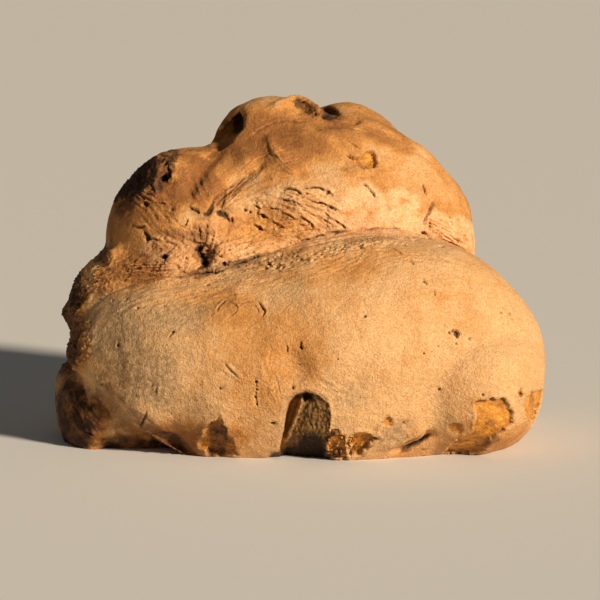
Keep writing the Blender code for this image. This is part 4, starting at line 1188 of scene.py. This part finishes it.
crustLook = {
    "goldenTan": "#C98B48", "paleTan": "#D8A974", "brownTan": "#9A622F", "deepBrown": "#683E1B",
    "tornPale": "#F2BB88", "tornDeep": "#D0833A",
    "flakeOrange": "#E0962E", "flakeDeep": "#92561A",
    "flourGrey": "#A3825A", "flourPale": "#C6A276",
    "burntBrown": "#24140B", "crackBrown": "#1E1007", "hollowOlive": "#6A4810",
    "roughness": 0.82, "flakeRoughness": 0.5, "specular": 0.35,
    "clouds": {  # size in millimetres, detail, roughness, distortion, shift
        "grain": (0.85, 2.0, 0.6, 0.0, 0.0),  # semolina is 0.2 to 0.6 mm, drawn this coarse so that it shows
        "leather": (2.2, 2.0, 0.5, 0.4, 0.0),  # ripples of the dried skin
        "mottle": (7.0, 4.0, 0.6, 0.3, 0.13),  # where single bubbles browned
        "drift": (38.0, 3.0, 0.5, 0.2, 0.31),  # where the oven was hotter
    },
    "uneven": [  # mark, cloud, operation, the cloud's low and high, what they turn into
        ("bakeAndShade", "drift", "ADD", 0.3, 0.7, -0.16, 0.26),
        ("bakeAndShade", "mottle", "ADD", 0.3, 0.7, -0.16, 0.18),
        ("flour", "mottle", "ADD", 0.3, 0.75, -0.14, 0.12),
        ("burnt", "mottle", "MULTIPLY", 0.28, 0.6, 0.45, 1.0),
    ],
    "tones": {  # two colours that a cloud mixes, and the cloud's low and high
        "flour": ("flourGrey", "flourPale", "leather", 0.35, 0.7),
        "torn": ("tornPale", "tornDeep", "mottle", 0.45, 0.75),
        "flake": ("flakeOrange", "flakeDeep", "mottle", 0.35, 0.7),
    },
    "layers": [  # one over the other on paleTan: mark, where it starts and is full, strength, tone or colour
        ("bakeAndShade", -0.1, 0.6, 1.0, "goldenTan"),
        ("bakeAndShade", 0.4, 0.95, 1.0, "brownTan"),
        ("flour", 0.05, 0.9, 0.85, "flour"),
        # painted shade in the folds' hollows and painted highlight on their tops
        ("foldShadeAndHighlight", 0.53, 0.85, 0.50, "brownTan"),
        ("foldShadeAndHighlight", 0.46, 0.2, 0.35, "paleTan"),
        ("torn", 0.0, 1.0, 0.85, "torn"),
        # painted shade in the fine relief's hollows and painted highlight on its bumps
        ("cavityShadeAndHighlight", 0.54, 0.90, 0.55, "flakeDeep"),
        ("cavityShadeAndHighlight", 0.47, 0.2, 0.45, "paleTan"),
        ("flake", 0.0, 1.0, 0.9, "flake"),
        ("hollow", 0.0, 1.0, 0.85, "hollowOlive"),
        # burnt crust, and painted shade on the shaded left side, base, valleys and seams
        ("burnt", 0.05, 0.5, 0.6, "deepBrown"),
        ("burnt", 0.35, 0.85, 0.85, "burntBrown"),
        # painted shade in cracks, pits and deep openings, where light doesn't reach
        ("paintedShade", 0.0, 1.0, 0.9, "crackBrown"),
    ],
    "grainLight": (0.78, 1.16), "grainGreen": 1.25, "grainBlue": 1.7,  # the grain's dark side is redder
    "leatherLight": (0.90, 1.06),
    "speckSize": 1.36, "speckStrength": 0.5,  # bran is about 1 mm
    "bumpHeight": 0.9, "bumpWeights": {"grain": 0.50, "leather": 0.60, "mottle": 0.60},
}


def makeCrustMaterial(look):
    # Baked durum wheat dough: a dry matt skin, golden tan and grainy, darker where it stands proud and
    # burnt, grey-beige where flour lies on it, salmon where it tore, orange-brown and a little
    # glossier in burst blisters. Painted shade darkens its cracks, pits, openings, hollows, folds and
    # shaded left side and base; painted highlight pales the tops of its folds and fine bumps.
    material = bpy.data.materials.new("durumCrust")
    material.use_nodes = True
    tree = material.node_tree
    shader = tree.nodes["Principled BSDF"]
    place = addNode(tree, "ShaderNodeTexCoord", "Object", {})
    marks = {name: addNode(tree, "ShaderNodeAttribute", "Fac", {}, attribute_name=name) for name in fineMarks}
    clouds = {}
    for name, (size, detail, roughness, distortion, offset) in look["clouds"].items():
        moved = addNode(tree, "ShaderNodeVectorMath", 0, {0: place, 1: (offset,) * 3}, operation="ADD")
        clouds[name] = addNode(tree, "ShaderNodeTexNoise", "Fac", {
            "Vector": moved, "Scale": 1000 / size, "Detail": detail, "Roughness": roughness,
            "Distortion": distortion})

    for name, cloud, operation, low, high, least, most in look["uneven"]:
        change = addNode(tree, "ShaderNodeMapRange", "Result", {
            "Value": clouds[cloud], "From Min": low, "From Max": high, "To Min": least, "To Max": most})
        marks[name] = addNode(tree, "ShaderNodeMath", 0, {0: marks[name], 1: change}, operation=operation)
    tones = {}
    for name, (first, second, cloud, low, high) in look["tones"].items():
        share = addNode(tree, "ShaderNodeMapRange", "Result", {
            "Value": clouds[cloud], "From Min": low, "From Max": high}, interpolation_type="SMOOTHSTEP")
        tones[name] = addNode(tree, "ShaderNodeMix", 2, {
            "Factor": share, 6: look[first], 7: look[second]}, data_type="RGBA")
    skin = look["paleTan"]
    for name, low, high, strength, tone in look["layers"]:
        share = addNode(tree, "ShaderNodeMapRange", "Result", {
            "Value": marks[name], "From Min": low, "From Max": high, "To Max": strength},
            interpolation_type="SMOOTHSTEP")
        over = tones[tone] if tone in tones else look[tone]
        skin = addNode(tree, "ShaderNodeMix", 2, {"Factor": share, 6: skin, 7: over}, data_type="RGBA")

    # grain and leather darken the colour where their bump is low: the semolina's own speckle, and painted
    # shade in the hollows of both
    dark, light = look["grainLight"]
    grain = addNode(tree, "ShaderNodeMapRange", "Result", {
        "Value": clouds["grain"], "From Min": 0.3, "From Max": 0.7, "To Min": dark, "To Max": light})
    green = addNode(tree, "ShaderNodeMath", 0, {0: grain, 1: look["grainGreen"]}, operation="POWER")
    blue = addNode(tree, "ShaderNodeMath", 0, {0: grain, 1: look["grainBlue"]}, operation="POWER")
    tint = addNode(tree, "ShaderNodeCombineColor", 0, {"Red": grain, "Green": green, "Blue": blue})
    dark, light = look["leatherLight"]
    shade = addNode(tree, "ShaderNodeMapRange", "Result", {
        "Value": clouds["leather"], "From Min": 0.3, "From Max": 0.7, "To Min": dark, "To Max": light})
    for colour in (tint, shade):
        skin = addNode(tree, "ShaderNodeMix", 2, {
            "Factor": 1.0, 6: skin, 7: colour}, data_type="RGBA", blend_type="MULTIPLY")

    # a brown speck in some of the cells
    speck = addNode(tree, "ShaderNodeTexVoronoi", "Distance", {
        "Vector": place, "Scale": 1000 / look["speckSize"]})
    inside = addNode(tree, "ShaderNodeMapRange", "Result", {
        "Value": speck, "From Min": 0.36, "From Max": 0.10, "To Max": look["speckStrength"]},
        interpolation_type="SMOOTHSTEP")
    chosen = addNode(tree, "ShaderNodeMapRange", "Result", {
        "Value": speck.node.outputs["Color"], "From Min": 0.60, "From Max": 0.85},
        interpolation_type="SMOOTHSTEP")
    share = addNode(tree, "ShaderNodeMath", 0, {0: inside, 1: chosen}, operation="MULTIPLY")
    skin = addNode(tree, "ShaderNodeMix", 2, {
        "Factor": share, 6: skin, 7: look["deepBrown"]}, data_type="RGBA")
    tree.links.new(skin, shader.inputs["Base Color"])

    rough = addNode(tree, "ShaderNodeMapRange", "Result", {
        "Value": marks["flake"], "To Min": look["roughness"], "To Max": look["flakeRoughness"]})
    tree.links.new(rough, shader.inputs["Roughness"])
    shader.inputs["Specular IOR Level"].default_value = look["specular"]

    height = 0.0
    for name, weight in look["bumpWeights"].items():
        height = addNode(tree, "ShaderNodeMath", 0, {
            0: clouds[name], 1: weight, 2: height}, operation="MULTIPLY_ADD")
    normal = addNode(tree, "ShaderNodeBump", "Normal", {
        "Height": height, "Strength": 1.0, "Distance": look["bumpHeight"] * mm})
    tree.links.new(normal, shader.inputs["Normal"])
    return material


bread.data.materials.clear()
bread.data.materials.append(makeCrustMaterial(crustLook))
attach(bread, "root")
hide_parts("loaf")

# The floor and the light, in metres: a warm low sun from the right front, and a weak fill from the left.
studio = {
    "aimAt": (0, 0, 0.07),
    "floorColour": "#DEDBD5", "floorSize": 24.0, "floorRoughness": 0.9,
    "keyFrom": (0.66, -0.62, 0.48), "keySoftness": 7.0, "keyStrength": 5.0, "keyColour": "#FFF0DA",
    "fillFrom": (-0.8, -1.2, 0.9), "fillSize": 1.2, "fillPower": 0.35, "fillColour": "#F4F1EC",
    "worldColour": "#FFFFFF", "worldStrength": 0.09,
}


def addLamp(name, kind, position, colour, energy, **settings):
    lamp = bpy.data.lights.new(name, kind)
    lamp.energy, lamp.color = energy, hexColour(colour)[:3]
    for setting, value in settings.items():
        setattr(lamp, setting, value)
    obj = bpy.data.objects.new(name, lamp)
    bpy.context.scene.collection.objects.link(obj)
    obj.location = position
    obj.rotation_euler = (Vector(position) - Vector(studio["aimAt"])).to_track_quat("Z", "Y").to_euler()


def buildStudio():
    shape = bmesh.new()
    bmesh.ops.create_grid(shape, x_segments=1, y_segments=1, size=studio["floorSize"] / 2)
    mesh = bpy.data.meshes.new("floor")
    shape.to_mesh(mesh)
    shape.free()
    floor = bpy.data.objects.new("floor", mesh)
    bpy.context.scene.collection.objects.link(floor)
    paint = bpy.data.materials.new("paleFloor")
    paint.use_nodes = True
    shader = paint.node_tree.nodes["Principled BSDF"]
    shader.inputs["Base Color"].default_value = hexColour(studio["floorColour"])
    shader.inputs["Roughness"].default_value = studio["floorRoughness"]
    mesh.materials.append(paint)
    floor.location.z = cadBox[0][2]
    addLamp("key", "SUN", studio["keyFrom"], studio["keyColour"], studio["keyStrength"],
            angle=math.radians(studio["keySoftness"]))
    addLamp("fill", "AREA", studio["fillFrom"], studio["fillColour"], studio["fillPower"], shape="DISK",
            size=studio["fillSize"])
    world = bpy.data.worlds.new("studio")
    world.use_nodes = True
    world.node_tree.nodes["Background"].inputs["Color"].default_value = hexColour(studio["worldColour"])
    world.node_tree.nodes["Background"].inputs["Strength"].default_value = studio["worldStrength"]
    bpy.context.scene.world = world
    bpy.context.scene.view_settings.view_transform = "Standard"


def aimCamera(moved):
    # the photograph's view: 8 degrees above the floor, square to the front fold
    lens = bpy.data.cameras.new("photoView")
    lens.sensor_width = 36
    lens.lens = 36 * photoView["distance"] / photoView["imageWidth"]
    camera = bpy.data.objects.new("photoView", lens)
    bpy.context.scene.collection.objects.link(camera)
    camera.location = Vector(photoEye()) * mm + moved
    camera.rotation_euler = (math.radians(90) - photoView["lift"], 0, 0)
    bpy.context.scene.camera = camera


buildStudio()
aimCamera(shift)
print("studio set")
